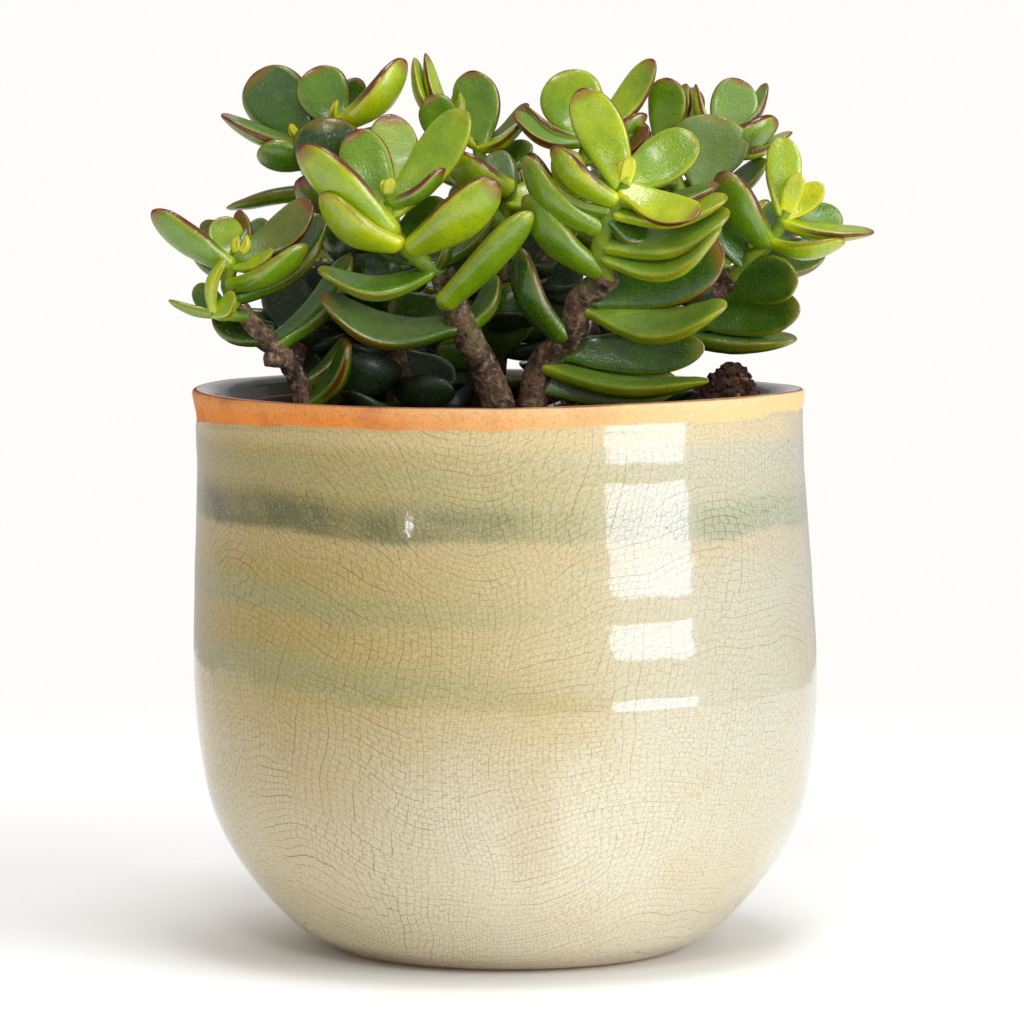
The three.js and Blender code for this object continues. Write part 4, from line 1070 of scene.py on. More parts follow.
# %% Leafy shoots of the front
# Shoots with one node name are one piece. Each leaf: its place along the stem, its tip as x, y, z from
# there, its width, the turn of its upper side away from the viewer, its look, and its bend if not usual
SHOOTS = [
    ("head_front_right",
     [(22, -18.5, 152, 2.7), (20.5, -21, 157, 2.7), (21, -24, 163, 2.6), (23.5, -26, 169, 2.2),
      (26, -27, 174, 1.6)],
     [(4, (1, -1, 6), 3.4, 0, "bud"), (4, (-0.8, 1.4, 5), 3, 0, "bud"),
      (3.8, (-9.8, 4, 21.5), 11, 5, "lime_blush"), (3.8, (16, 3, 11), 11.5, 20, "lime"),
      (3.9, (15.8, -12, -6.5), 9.5, 40, "yellow_blush"), (3.2, (-14.5, -3, 12), 8.5, -125, "lime_blush"),
      (3.3, (22.5, 4, 3), 8, 75, "green_red"), (2.8, (-16, 2, 9), 6, -90, "green"),
      (2.8, (25.5, -2, 3), 8.5, 60, "lime"), (2.1, (-18, 1, 16), 9, -130, "green"),
      (1.6, (28.5, -6, 7), 11.5, 60, "lime_frost"), (1.2, (26.5, -10, 6), 11.5, 60, "lime_frost", 0.2),
      (0.4, (-18, -3, 17.5), 9, -140, "green"), (2.6, (9, 4, -3), 10, 40, "dark")]),
    ("head_front_left",
     [(-14.5, -17.5, 153, 2.8), (-19.5, -20, 156.8, 2.4), (-24, -22, 161, 2.1), (-26.3, -23, 166.5, 1.8),
      (-26.5, -23, 171.5, 1.4)],
     [(4, (0.5, -1, 3.6), 3, 0, "bud"), (4, (-1.2, 0.8, 3.2), 2.6, 0, "bud"),
      (3.6, (-8, 5, 15.5), 11.5, 0, "lime_edge"), (3.6, (12.5, -4, 7.5), 6, 110, "green_red"),
      (2.3, (-21.5, -3, 19.5), 11.5, -140, "lime_blush", 0.05), (3.1, (17, 4, 23), 11, 25, "lime"),
      (3.1, (0, 9, 22), 12, 0, "lime_pale"), (1.9, (-18, -4, 11), 13, -115, "lime"),
      (1.6, (20, -9, 15.5), 11.5, 150, "lime_blush", 0.08), (0.5, (-25.5, -6, 0), 9.5, -65, "green", 0.16),
      (2, (10, 5, 9), 9, 30, "mid"), (1, (9, 6, 5), 9, 40, "dark"), (1.2, (-8, 7, 6), 9, 0, "dark"),
      (0.7, (14.5, 6, 13), 8, 60, "mid"), (0.5, (3, -2, 9), 6, 90, "dark_frost")]),
    ("head_left_low",
     [(-60.3, -16, 144.5, 2.3), (-62.5, -16, 151, 2.1), (-61.5, -16, 155.5, 1.8), (-59.5, -16, 159, 1.4)],
     [(3, (-0.8, -0.5, 3.2), 2.6, -90, "bud"), (3, (1.2, 0, 3.4), 2.6, 90, "bud"),
      (1.9, (-17.8, -2, 12.6), 8.8, -135, "green_blush", 0.02), (1, (18, -5, 9.3), 8.5, 115, "green"),
      (0.6, (21, 6, 18), 11, 60, "dark"), (1.4, (-9, 6, 7.6), 5, -60, "dark"),
      (2, (-7, 7, 9.5), 6, 0, "dark_blush"), (2, (9.2, -7, 3.2), 5, 60, "lime"),
      (2.2, (-2.8, 4, 9.8), 8.5, -20, "lime_blush"), (2.5, (16.6, 2, 12), 9.5, 35, "olive_blush"),
      (2.8, (-0.5, 5, 9), 4.5, 30, "rose", 0.25), (2.6, (6, 6, 7.5), 6, 0, "dark_blush")]),
    ("head_left_side",
     [(-58.5, -17, 144, 1.8), (-63, -20, 144.6, 1.6), (-66, -21, 145.6, 1.4)],
     [(1.6, (2, -1, 12), 5, -100, "lime"), (1.4, (-11.2, 1, 2.8), 4, -95, "green", 0.04),
      (1.7, (4.8, -6, 3.7), 5.5, 40, "lime"), (1, (-7, 7, 6), 6, 0, "mid")]),
    ("head_upper_left",
     [(-38, 6, 165.5, 2.5), (-40, 5, 173, 2.4), (-43, 4.5, 179, 2), (-47, 4, 183.5, 1.5)],
     [(3, (-2.5, -1, 3), 3, -60, "bud"), (3, (0.5, 1.5, 3.2), 2.6, 0, "bud"),
      (2.6, (-12, 5, 16), 15.5, 10, "dark_blush"), (2.5, (-19.7, -3, 7), 9, -80, "frost_blush", 0.05),
      (2, (-13.5, -6, 1.5), 9, -140, "mid", 0.05), (1, (-1.5, -8, 15), 16, 180, "blue"),
      (0.8, (-24.5, 2, -4), 9, -90, "mid", -0.05), (0.3, (-9, -6, 7), 8, -150, "olive_blush")]),
    ("head_upper_left",
     [(-40.5, 5, 174, 2.2), (-40, 4, 181, 1.9), (-37.5, 2.5, 188, 1.5)],
     [(2, (-1.2, -2, 4), 3.2, -70, "bud"), (2, (1, 1.5, 3.5), 2.6, 0, "bud"),
      (1.8, (-6, 1, 12.3), 12, 0, "green_blush"), (1.9, (14.6, 0, 13.4), 11, 120, "lime_blush"),
      (1.8, (4.5, 5, 9.5), 6.5, -20, "dark_blush"), (1, (12, 7, 4), 9, 60, "dark")]),
    ("head_top_centre",
     [(-2, 11, 154, 2.4), (-4, 11, 165, 2.3), (-6, 10.5, 175, 2.1), (-7, 10, 183, 1.6)],
     [(3, (-12, 3, 19.5), 6, -70, "lime_blush"), (3, (-1.5, 2, 15.5), 11, 15, "green_blush"),
      (2.8, (10, -3, 5), 6, 80, "lime_blush"), (3, (11.5, 6, 8), 6, 60, "olive_blush"),
      (2, (11, 6, 7), 8, 40, "green"), (1.8, (-12, 7, 6), 9, -40, "green"),
      (0.8, (-14, 2, 4), 9, -60, "mid")]),
    ("head_top_centre",
     [(-5, 11, 169, 1.9), (-11, 11, 179, 1.7), (-14.5, 11, 187, 1.3)],
     [(2, (-7, 0, 14.5), 6, -70, "lime"), (1.2, (-6, -4, 12), 9, -10, "green_blush"),
      (2, (3, 3, 7), 5, 60, "lime")]),
    ("head_centre",
     [(-2.5, 10, 153, 2.2), (-2, 4, 162, 2.1), (-0.5, -1, 169.5, 1.8), (0.5, -3, 173, 1.4)],
     [(2.8, (-14, -5, 7), 11, -130, "lime_blush"), (2, (9, 4, 3), 8, 40, "lime"),
      (2.4, (-3, 8, 9), 8, 0, "dark_frost"), (1.3, (-11, -6, 8), 9, -150, "green")]),
    ("head_top_right_centre",
     [(11.2, 8, 160, 2.2), (14, 7.5, 170, 2.1), (17, 6.5, 179, 1.8), (18.5, 6, 184, 1.4)],
     [(3, (-6.5, 3, 14.3), 14.5, 0, "lime"), (2.9, (-17.5, -3, 5), 7.5, -60, "frost_blush", 0.14),
      (3, (-15, 3, 6.5), 5, -100, "green_blush"), (3, (14.5, 2, 17), 8, 40, "lime_blush"),
      (2.9, (13, -3, 5), 6.5, 120, "green_red"), (2.3, (14.5, -1, 4.5), 9, 150, "green_red"),
      (1.9, (15, -7, 7), 6, 40, "rose"), (1, (-1.5, -8, 11), 8, 180, "lime"),
      (1, (-9.5, -3, 10), 7, -120, "olive_blush"), (1.2, (12, 8, 3), 9, 40, "mid")]),
    ("head_top_right",
     [(42, 11, 158, 2.2), (40, 11.5, 168, 2.1), (37, 12, 177, 1.8), (34.5, 12, 184, 1.4)],
     [(2.9, (1.6, -1, 13.3), 9.5, 20, "green_blush"), (3, (6, 4, 11.5), 6, 60, "lime_blush"),
      (3, (9, 9, 10), 8, 0, "green_blush"), (1.6, (-14, 2, 4), 9, -50, "dark")]),
    ("head_top_right",
     [(42, 11, 166, 2), (46, 11.5, 176, 1.8), (49, 12, 186, 1.3)],
     [(2, (-6.5, -1, 9.5), 5, -90, "lime_blush"), (2, (4, 4, 10.5), 11, 0, "frost_blush"),
      (2, (10, 7, 9.5), 5, 60, "frost_blush"), (0.6, (3, -3, 17), 18.5, 0, "blue_frost"),
      (1.6, (13.5, 2, 4), 9, 130, "green_red"), (1.4, (17.5, 6, 4), 6, 80, "lime_blush"),
      (0.3, (16, 4, 10), 8, 60, "mid_frost")]),
    ("head_right",
     [(50.5, 4.2, 150.8, 2.4), (54, 3, 155, 2.3), (58.5, 1, 159.5, 2.2), (61, 0.5, 163, 2),
      (63, 0, 167, 1.5)],
     [(3.9, (-1, 3, 17), 8.5, -10, "lime"), (4, (2.5, -2, 8.5), 5, 0, "yellow"),
      (4, (8, -1, 6), 6, 20, "yellow"), (2, (-11, -6, 16.5), 10.5, -140, "green_blush"),
      (3.4, (20.5, -4, -2.5), 7, 75, "lime_blush", 0.05), (3.6, (13.5, 6, -1), 9, 20, "green"),
      (2.2, (16.5, -7, 0), 7, 110, "lime"), (1, (18, 7, 3), 11, 45, "dark_frost"),
      (1, (-5, -2, 11.5), 8, -30, "mid"), (2.5, (5, 13, 6), 10, 0, "green")]),
]

# %% Old leaves on the wood, and the rule of the back
# Name, foot, tip as x, y, z from the foot, width, turn, look, and bend if not usual
OLD_LEAVES = [
    ("leaf_left_1", (-52.5, -15.5, 138), (17.5, 2.5, 19.6), 9.5, 60, "mid"),
    ("leaf_left_2", (-45.4, -14, 124.5), (9.9, -4, 14.5), 8, 70, "dark_blush"),
    ("leaf_left_3", (-54, -15.5, 140), (-12, 4, 4.6), 8.5, -40, "dark"),
    ("leaf_left_4", (-47.5, -12, 128.5), (11, 5, 10.5), 6, 75, "frost_blush"),
    ("leaf_centre_left_1", (-11.2, -13.2, 142.5), (-30.8, -7.8, 6), 11, -50, "dark_frost", 0.17),
    ("leaf_centre_left_2", (-14.5, -19, 147), (19.8, -7, 20.8), 8.5, 140, "lime_frost", 0.02),
    ("leaf_centre_left_3", (-10, -12.5, 141.5), (7.5, 3, 11.5), 7, 60, "mid"),
    ("leaf_centre_left_4", (-11, -13.5, 144), (-16, 6, 2), 9, -20, "dark"),
    ("leaf_centre_right_1", (18, -15.5, 148), (30, -1, 11.5), 17.5, 10, "dark_blush"),
    ("leaf_centre_right_2", (17, -13.2, 147), (31.3, -14.8, 0), 11, 55, "lime_frost", 0.16),
    ("leaf_centre_right_3", (13, -11, 139), (-11, -3, 20.5), 9, -125, "dark_frost"),
    ("leaf_centre_right_4", (11, -8, 136.8), (33, -6, 0), 10, 10, "dark", 0.06),
    ("leaf_centre_right_5", (7.5, -6.5, 133), (37, -18, -3), 8, 75, "lime_frost", 0.08),
    ("leaf_centre_right_6", (6.5, -5, 129), (32, -7, -0.5), 10, 10, "mid_frost", 0.05),
    ("leaf_right_1", (47.5, 5, 149), (17.5, -14, 3), 11, 10, "mid"),
    ("leaf_right_2", (40, 7, 143), (26, -8, 1.8), 11.5, 15, "mid"),
    ("leaf_right_3", (37, 8, 139.3), (28.5, -4, -1.5), 9, 72, "mid_frost", 0.06),
    ("leaf_right_4", (27, 8, 128), (-14, -6, 8), 11, 170, "dark"),
    ("leaf_right_5", (33, 8, 135), (6, -6, 16), 12, 180, "dark"),
    ("leaf_upper_left_1", (-29, 6, 146), (-3, -8, 15), 13, 180, "dark"),
    ("leaf_upper_left_2", (-32, 6, 153), (-8, -6, 13), 11, 180, "dark"),
    # These two are painted with the shade look
    ("leaf_upper_left_3", (-25, 6, 130), (-16, -10, 2), 12, -150, "shade"),
    ("leaf_upper_left_4", (-24.5, 6, 126), (12, -13, 1.5), 9, 150, "shade"),
    ("leaf_back_centre_1", (-4, 11.5, 134), (8, -8, 16), 13, 180, "dark"),
    ("leaf_back_centre_2", (-3.5, 12, 136), (-13, -7, -1), 9, -150, "dark"),
    ("leaf_back_centre_3", (-3, 12, 142), (-18, -8, 2), 12, -160, "dark"),
    ("leaf_back_centre_4", (-3, 12, 143), (13, 1, -2), 10, 170, "dark"),
    ("leaf_back_1", (-24, 30, 138), (-22, 6, 2), 10, -90, "mid"),
    ("leaf_back_2", (-13, 35, 138), (0, 24, 4), 11, 0, "mid"),
    ("leaf_back_3", (22, 36, 138), (22, 10, 2), 11, 80, "mid_frost"),
]

# Node, foot of the stem, its tip, first azimuth, leaf length
BACK_SHOOTS = [
    ("head_back_left_low", (-47, 8, 141.5), (-50, 20, 152), 90, 18),
    ("head_back_left", (-31.5, 37.5, 149.5), (-46, 47, 156), 70, 21),
    ("head_back_upper_left", (-34, 22.5, 165.5), (-35, 29, 176), 10, 20),
    ("head_back_middle", (-9, 45.5, 147.5), (-7, 54, 160), 40, 21),
    ("head_back_top", (-2, 26.5, 157.5), (3, 36, 169), 80, 19),
    ("head_back_right", (24, 42.5, 150.5), (24, 51, 163), 15, 21),
    ("head_back_upper_right", (31, 24.5, 165.5), (29, 31, 176), 60, 19),
    ("head_back_right_low", (44.5, 34, 149.5), (56, 36, 160), 50, 22),
]
BACK_LOOKS = ["yellow_blush", "lime_blush", "green_blush", "mid_frost"]     # from the youngest pair down

# The shoots of these nodes also carry the old dark leaves of the wood they grow from, in pairs: node,
# wood, its path, place of the lowest pair on it, pairs, first azimuth, leaf length
SHADE_LEAVES = [
    ("head_back_top", "stem_back_centre", 0, 0.9, 4, 20, 17),
    ("head_back_left", "stem_back_left", 0, 0.9, 4, 65, 19),
    ("head_back_upper_left", "stem_upper_left", 0, 0.9, 4, 50, 17),
    ("head_back_right", "stem_back_right", 0, 0.9, 4, 10, 19),
    ("head_back_upper_right", "stem_right", 0, 0.9, 3, 60, 17),
    ("head_back_top", "stem_back_centre", 1, 0.2, 4, 0, 15),
    ("head_back_top", "stem_back_centre", 2, 0.6, 3, 40, 16),
    ("head_back_upper_right", "stem_right", 1, 0.4, 3, 30, 14),
    ("head_back_upper_left", "stem_upper_left", 0, 2.1, 4, 10, 13),
    ("head_back_left_low", "stem_left", 2, 0.9, 3, 20, 13),
    ("head_back_middle", "stem_back_left", 1, 0.5, 4, 80, 17),
    ("head_back_right_low", "stem_back_right", 1, 0.5, 4, 40, 17),
]
SHADE_STEP = 0.42        # between pairs, in points of the path
SHADE_DEPTH = 18         # leaves of this list that stand nearer the front than this get the painted shade look
# Node, foot, tip from the foot, width and turn of the leaves, painted with the shade look, that close the
# plant's middle
INNER_LEAVES = [
    ("head_back_left_low", (-47.5, -5, 136.5), (5, 3, -12), 10, 10),
    ("head_back_left_low", (-47.2, 3, 139), (11, 2, -6), 11, 0),
    ("head_back_left_low", (-47.2, 0, 139), (-5, 3, 13), 12, 0),
    ("head_back_left_low", (-47, 4, 140.3), (7, 3, 13), 13, 10),
    ("head_back_upper_left", (-26.5, 6, 136), (-14, 2, 0), 12, 0),
    ("head_back_upper_left", (-25.5, 6, 131), (-13, 3, -4), 11, -10),
    ("head_back_upper_left", (-28.5, 6, 142), (-13, 3, 5), 12, 10),
    ("head_back_upper_left", (-29, 6.5, 147), (9, 3, 10), 12, -10),
    ("head_back_upper_left", (-26, 6, 134), (10, 3, 9), 13, 0),
    ("head_back_upper_left", (-25, 6, 134), (11, -5, -10), 15, 0),
    ("head_back_top", (-4.5, 11.5, 129.5), (-14, -4, -3), 12, -10),
    ("head_back_top", (4, 10.5, 149), (9, -3, -8), 12, 0),
    ("head_back_top", (6, 10, 152), (11, -3, -1), 12, 10),
    ("head_back_top", (8, 9, 155.5), (-6, -3, 9), 12, 10),
    ("head_back_top", (-2.5, 12.5, 146), (-11, 2, 9), 12, 15),
    ("head_back_top", (-1.5, 12.5, 146.5), (12, 3, 7), 12, 0),
    ("head_back_top", (0.5, 11.5, 142.5), (13, 1, -3), 13, -10),
    ("head_back_upper_right", (33, 9.5, 136), (-11, 3, 10), 13, 0),
    ("head_back_upper_right", (36, 9.5, 141), (0, 3, 12), 13, 10),
]

# %% From the lists to leaves
# Every leaf becomes a foot, a reach, the way its upper side looks, a width, a bend and a look
LEAF_BEND = 0.12
TIP_SINK = 0.3           # the youngest leaves start this far below the stem's tip, in steps of its points
TO_VIEWER = Vector((0, -1, 0))
# What a chance between 0 and 1 comes from: factor, step and modulus of a linear congruential generator
GENERATOR = (1664525, 1013904223, 2 ** 32)


def seeded(seed):
    """The same chances on every run."""
    factor, step, modulus = GENERATOR
    while True:
        seed = (seed * factor + step) % modulus
        yield seed / modulus


def stem_point(stem, place):
    i = min(int(place), len(stem) - 2)
    return Vector(on_line(np.array([point[:3] for point in stem], float), i, place - i))


def turned_leaf(foot, reach, width, turn, look, bend=LEAF_BEND):
    """A leaf whose upper side is turned so many degrees from the viewer to its left."""
    along = reach.normalized()
    facing = (TO_VIEWER - along * TO_VIEWER.dot(along)).normalized()
    left = facing.cross(along)
    face = facing * math.cos(math.radians(turn)) + left * math.sin(math.radians(turn))
    return foot, reach, face, width, bend, look


def listed_leaves(stem, rows):
    for place, tip, *rest in rows:
        foot = stem_point(stem, min(place, len(stem) - 1 - TIP_SINK))
        yield turned_leaf(foot, stem_point(stem, place) + Vector(tip) - foot, *rest)


# %% The rule of the back
BACK_GIRTHS = (2.2, 1.9, 1.3)            # of a stem's foot, middle and tip
BACK_TOP, BACK_STEP = 1.72, 0.45         # place of the youngest pair on its stem, and steps down from it
BACK_RISE = (62, 12)                     # degrees that the youngest and the oldest leaves stand up
BACK_YOUNG = 0.5                         # length of the youngest leaves, for an oldest of 1
BACK_WIDTH, SHADE_WIDTH = 0.46, 0.55     # for a length of 1
BACK_SWAY, RISE_SWAY, SHADE_SWAY = 24, 14, 40    # degrees
STRAIGHT_UP = Vector((0, 0, 1))


def sway(chance, size):
    return size * (next(chance) - 0.5)


def opposite(azimuth, pair, half):
    """The two leaves of a pair look away from each other, and each pair is a quarter turn on."""
    return azimuth + 90 * pair + 180 * half


def back_shoot(foot, tip, azimuth, length, chance):
    middle = [(a + b) / 2 for a, b in zip(foot, tip)]
    stem = [(*point, girth) for point, girth in zip((foot, middle, tip), BACK_GIRTHS)]
    axis = (Vector(tip) - Vector(foot)).normalized()
    across = (Vector((1, 0, 0)) - axis * axis.x).normalized()
    ahead = axis.cross(across)
    leaves = []
    for pair, look in enumerate(BACK_LOOKS):
        age = pair / (len(BACK_LOOKS) - 1)
        for half in range(2):
            turn = math.radians(opposite(azimuth, pair, half) + sway(chance, BACK_SWAY))
            rise = math.radians(BACK_RISE[0] + (BACK_RISE[1] - BACK_RISE[0]) * age + sway(chance, RISE_SWAY))
            size = length * (BACK_YOUNG + (1 - BACK_YOUNG) * age ** 0.7) * (0.9 + 0.2 * next(chance))
            out = across * math.cos(turn) + ahead * math.sin(turn)
            reach = out * size * math.cos(rise) + axis * size * math.sin(rise)
            place = stem_point(stem, BACK_TOP - BACK_STEP * pair)
            leaves.append((place, reach, axis, size * BACK_WIDTH, LEAF_BEND, look))
    return stem, leaves


def shade_leaves(wood, path, place, pairs, azimuth, length, chance):
    """Old leaves that stand out from the wood and hang a little."""
    leaves = []
    for pair in range(pairs):
        for half in range(2):
            turn = math.radians(opposite(azimuth, pair, half) + sway(chance, SHADE_SWAY))
            size = length * (0.85 + 0.3 * next(chance))
            reach = Vector((math.cos(turn), math.sin(turn), 0.5 * next(chance) - 0.2)) * size
            foot = stem_point(WOODS[wood][path], place + SHADE_STEP * pair)
            # Leaves near the front are painted with the shade look, the others dark green
            look = "shade" if foot.y < SHADE_DEPTH else "dark"
            leaves.append((foot, reach, STRAIGHT_UP, size * SHADE_WIDTH, LEAF_BEND, look))
    return leaves


# %% All pieces of the plant
SHOOT_FOOT = 0.7         # a green stem is this slim at its foot, which hides it in the wood
SHOOT_GIRTH = 0.8        # and this slim from there on
SEED = 7                 # of all chances in the plant


def plant_pieces():
    """{node: [stems, leaves, slot]} for the whole plant."""
    pieces = {node: [paths, [], "bark"] for node, paths in WOODS.items()}
    for node, stem, rows in SHOOTS:
        piece = pieces.setdefault(node, [[], [], "shoot"])
        slim = [SHOOT_FOOT] + [SHOOT_GIRTH] * (len(stem) - 1)
        piece[0].append([(x, y, z, girth * share) for (x, y, z, girth), share in zip(stem, slim)])
        piece[1] += listed_leaves(stem, rows)
    chance = seeded(SEED)
    for node, *rule in BACK_SHOOTS:
        stem, leaves = back_shoot(*rule, chance)
        pieces[node] = [[stem], leaves, "shoot"]
    for node, *rule in SHADE_LEAVES:
        pieces[node][1] += shade_leaves(*rule, chance)
    # The inner leaves are painted with the shade look
    for node, foot, reach, width, turn in INNER_LEAVES:
        pieces[node][1].append(turned_leaf(Vector(foot), Vector(reach), width, turn, "shade"))
    for node, foot, reach, *rest in OLD_LEAVES:
        pieces[node] = [[], [turned_leaf(Vector(foot), Vector(reach), *rest)], "old_leaf"]
    return pieces


plant = plant_pieces()
print("plant:", len(plant), "pieces,", sum(len(leaves) for _, leaves, _ in plant.values()), "leaves")

# %% [markdown]
# ## One tree that grows stems and leaves
# A piece starts as a mesh of bare points: the points of its stems joined by edges, and one loose point at
# the foot of each leaf, which carries the leaf's numbers. The tree sweeps a round section along the edges,
# and sets a round shell on each loose point. Then it moves the shell's points by the leaf's formula: a
# narrow foot, the widest part at two thirds, a thick middle, a round margin, a sag and a shallow dish. A
# subdivided box could be modelled by hand instead, but then some three hundred leaves would all be alike.

# %% Points with numbers
# Attribute and the kind of its values
POINT_NUMBERS = {"girth": "FLOAT", "reach": "FLOAT_VECTOR", "face": "FLOAT_VECTOR", "width": "FLOAT",
                 "bend": "FLOAT", "look": "FLOAT_VECTOR", "chance": "FLOAT"}
NOTHING = {"FLOAT": 0.0, "FLOAT_VECTOR": (0.0, 0.0, 0.0)}


def seed_mesh(name, stems, leaves, chance):
    points, edges = [], []
    numbers = {key: [] for key in POINT_NUMBERS}

    def add(point, **values):
        points.append(tuple(v * MM for v in point))
        for key, kind in POINT_NUMBERS.items():
            numbers[key].append(values.get(key, NOTHING[kind]))

    for stem in stems:
        edges += [(len(points) + k, len(points) + k + 1) for k in range(len(stem) - 1)]
        for x, y, z, radius in stem:
            add((x, y, z), girth=radius * MM)
    for foot, reach, face, width, bend, look in leaves:
        add(foot, reach=tuple(reach * MM), face=tuple(face), width=width * MM, bend=bend,
            look=LOOKS[look], chance=next(chance))
    mesh = bpy.data.meshes.new(name)
    mesh.from_pydata(points, edges, [])
    for key, kind in POINT_NUMBERS.items():
        values = mesh.attributes.new(key, kind, "POINT")
        values.data.foreach_set("value" if kind == "FLOAT" else "vector", np.ravel(numbers[key]))
    return mesh


# %% Numbers in the tree
VECTORS = {"reach", "face", "look", "foot", "ball", "blade"}


def named(graph, name):
    """The points' own number or vector of this name."""
    kind = "FLOAT_VECTOR" if name in VECTORS else "FLOAT"
    return graph.node("GeometryNodeInputNamedAttribute", {"data_type": kind}, {"Name": name})


def stored(graph, geometry, name, value):
    kind = "FLOAT_VECTOR" if name in VECTORS else "FLOAT"
    return graph.node("GeometryNodeStoreNamedAttribute", {"data_type": kind, "domain": "POINT"}, {
        "Geometry": geometry, "Name": name, "Value": value})


def above(graph, name, limit):
    """Whether the points' own number is more than this."""
    return graph.node("FunctionNodeCompare", {"operation": "GREATER_THAN"}, {0: named(graph, name), 1: limit})


# %% The branch of the tree that sweeps stems
RING_SOFTNESS = 0.30     # how far a node's ring spreads over the wave that places it
NODE_SWAY = 1.6          # how much noise shifts the nodes along a stem


def stem_branch(graph, wires):
    """Smooth tubes along the edges, with a swollen ring at each node and rough bark."""
    line = graph.node("GeometryNodeMeshToCurve", {}, {"Mesh": wires["Geometry"]})
    curve = graph.node("GeometryNodeCurveSplineType", {"spline_type": "CATMULL_ROM"}, {"Curve": line})
    even = graph.node("GeometryNodeResampleCurve", {"mode": "LENGTH"}, {
        "Curve": curve, "Length": wires["Step"]})
    length = graph.node("GeometryNodeSplineParameter", {}, {}, "Length")
    marked = stored(graph, even, "stem_length", length)
    profile = graph.node("GeometryNodeCurvePrimitiveCircle", {}, {
        "Resolution": wires["Sides"], "Radius": 1.0})
    tube = graph.node("GeometryNodeCurveToMesh", {}, {
        "Curve": marked, "Profile Curve": profile, "Scale": named(graph, "girth"), "Fill Caps": True})
    place = graph.node("GeometryNodeInputPosition")
    shift = graph.noise(place, 120.0, 2.0, 0.5) * NODE_SWAY
    phase = named(graph, "stem_length") / wires["Ring spacing"] + shift
    wave = graph.maths("ABSOLUTE", graph.maths("SINE", phase * math.pi))
    ring = 1 - graph.smooth(wave, 0.0, RING_SOFTNESS)
    bark = (graph.noise(place, wires["Bark scale"], 4.0, 0.6) - 0.5) * wires["Bark height"]
    normal = graph.node("GeometryNodeInputNormal")
    shaped = graph.node("GeometryNodeSetPosition", {}, {
        "Geometry": tube, "Offset": normal * (ring * wires["Ring height"] + bark)})
    scarred = stored(graph, shaped, "scar", ring)
    return stored(graph, scarred, "is_stem", 1.0)


# %% The leaf's formula
# Powers of the leaf's outline and section: 1 is a plain sine or circle, and less is fuller
SIDE_POWER, TOP_POWER = 0.82, 0.92
SWELL_POWER = 1.5                        # from the foot to the widest place
CLOSE_POWERS = (2.4, 0.55)               # from there to the tip
FOOT_LENGTH, FLARE_LENGTH = 0.07, 0.14   # parts of the leaf's length
FULLNESS = (0.82, 0.25)                  # thickness at the ends, and what the middle has on top
TOP_SHARE, UNDER_SHARE = 0.42, 0.58      # the upper side is flatter than the lower
DISH = 0.12
SIDE_BOW = 0.09                          # most that a leaf bends sideways, for a length of 1
SAG_POWER = 1.5
ALMOST_NOTHING = 0.000001


def hump(t):
    """0 at both ends and 1 in the middle."""
    return t * (1 - t) * 4


def leaf_size(graph, wires, t, width):
    """Half the leaf's width and its thickness, at the share t of the way from the foot to the tip."""
    widest = wires["Widest"]
    foot_half = graph.smallest(width * 0.5 * wires["Foot width"], wires["Foot limit"])
    swell = graph.maths("SINE", graph.smallest(t / widest, 1.0) * (math.pi / 2)) ** SWELL_POWER
    beyond = graph.largest((t - widest) / (1 - widest), 0.0)
    close = graph.largest(1 - beyond ** CLOSE_POWERS[0], 0.0) ** CLOSE_POWERS[1]
    begin = graph.smallest(t / FOOT_LENGTH, 1.0) ** 0.5
    flare = 1 + wires["Foot flare"] * graph.smooth(t, FLARE_LENGTH, 0.0)
    half = (foot_half + (width * 0.5 - foot_half) * swell) * close * begin * flare
    full = FULLNESS[0] + FULLNESS[1] * graph.maths("SINE", t * math.pi)
    full = full * graph.largest(1 - t ** 5, 0.0) ** 0.5
    deep = full * (wires["Thickness"] + width * wires["Thickness share"]) * begin * flare
    return half, deep


def leaf_spot(graph, wires):
    """Where a point of a round shell goes in its leaf, and its place across, high and along there."""
    reach, face = named(graph, "reach"), named(graph, "face")
    width, chance = named(graph, "width"), named(graph, "chance")
    length = graph.length(reach)
    along = graph.maths("NORMALIZE", reach)
    up = graph.maths("NORMALIZE", face - along * graph.dot(face, along))
    side = graph.maths("CROSS_PRODUCT", up, along)

    ball_x, ball_y, ball_z = graph.parts(named(graph, "ball"))
    t = 0.5 + 0.5 * ball_z
    round_ = graph.maths("SQRT", graph.largest(1 - ball_z * ball_z, ALMOST_NOTHING))
    cosine, sine = ball_x / round_, ball_y / round_
    across = graph.maths("SIGN", cosine) * graph.maths("ABSOLUTE", cosine) ** SIDE_POWER
    high = graph.maths("SIGN", sine) * graph.maths("ABSOLUTE", sine) ** TOP_POWER
    upper, lower = graph.largest(high, 0.0), graph.smallest(high, 0.0)

    half, deep = leaf_size(graph, wires, t, width)
    rise = deep * (upper * TOP_SHARE + lower * UNDER_SHARE)
    dish = across * across * half * wires["Cup"] - upper * (1 - across * across) * deep * DISH
    bow = (chance - 0.5) * SIDE_BOW * length * hump(t)
    sag = named(graph, "bend") * length * graph.largest(hump(t), 0.0) ** SAG_POWER
    sink = wires["Foot sink"]
    centre = named(graph, "foot") + along * (sink + (length - sink) * t)
    spot = centre + side * (across * half + bow) + up * (rise + dish - sag)
    return spot, across, high, t


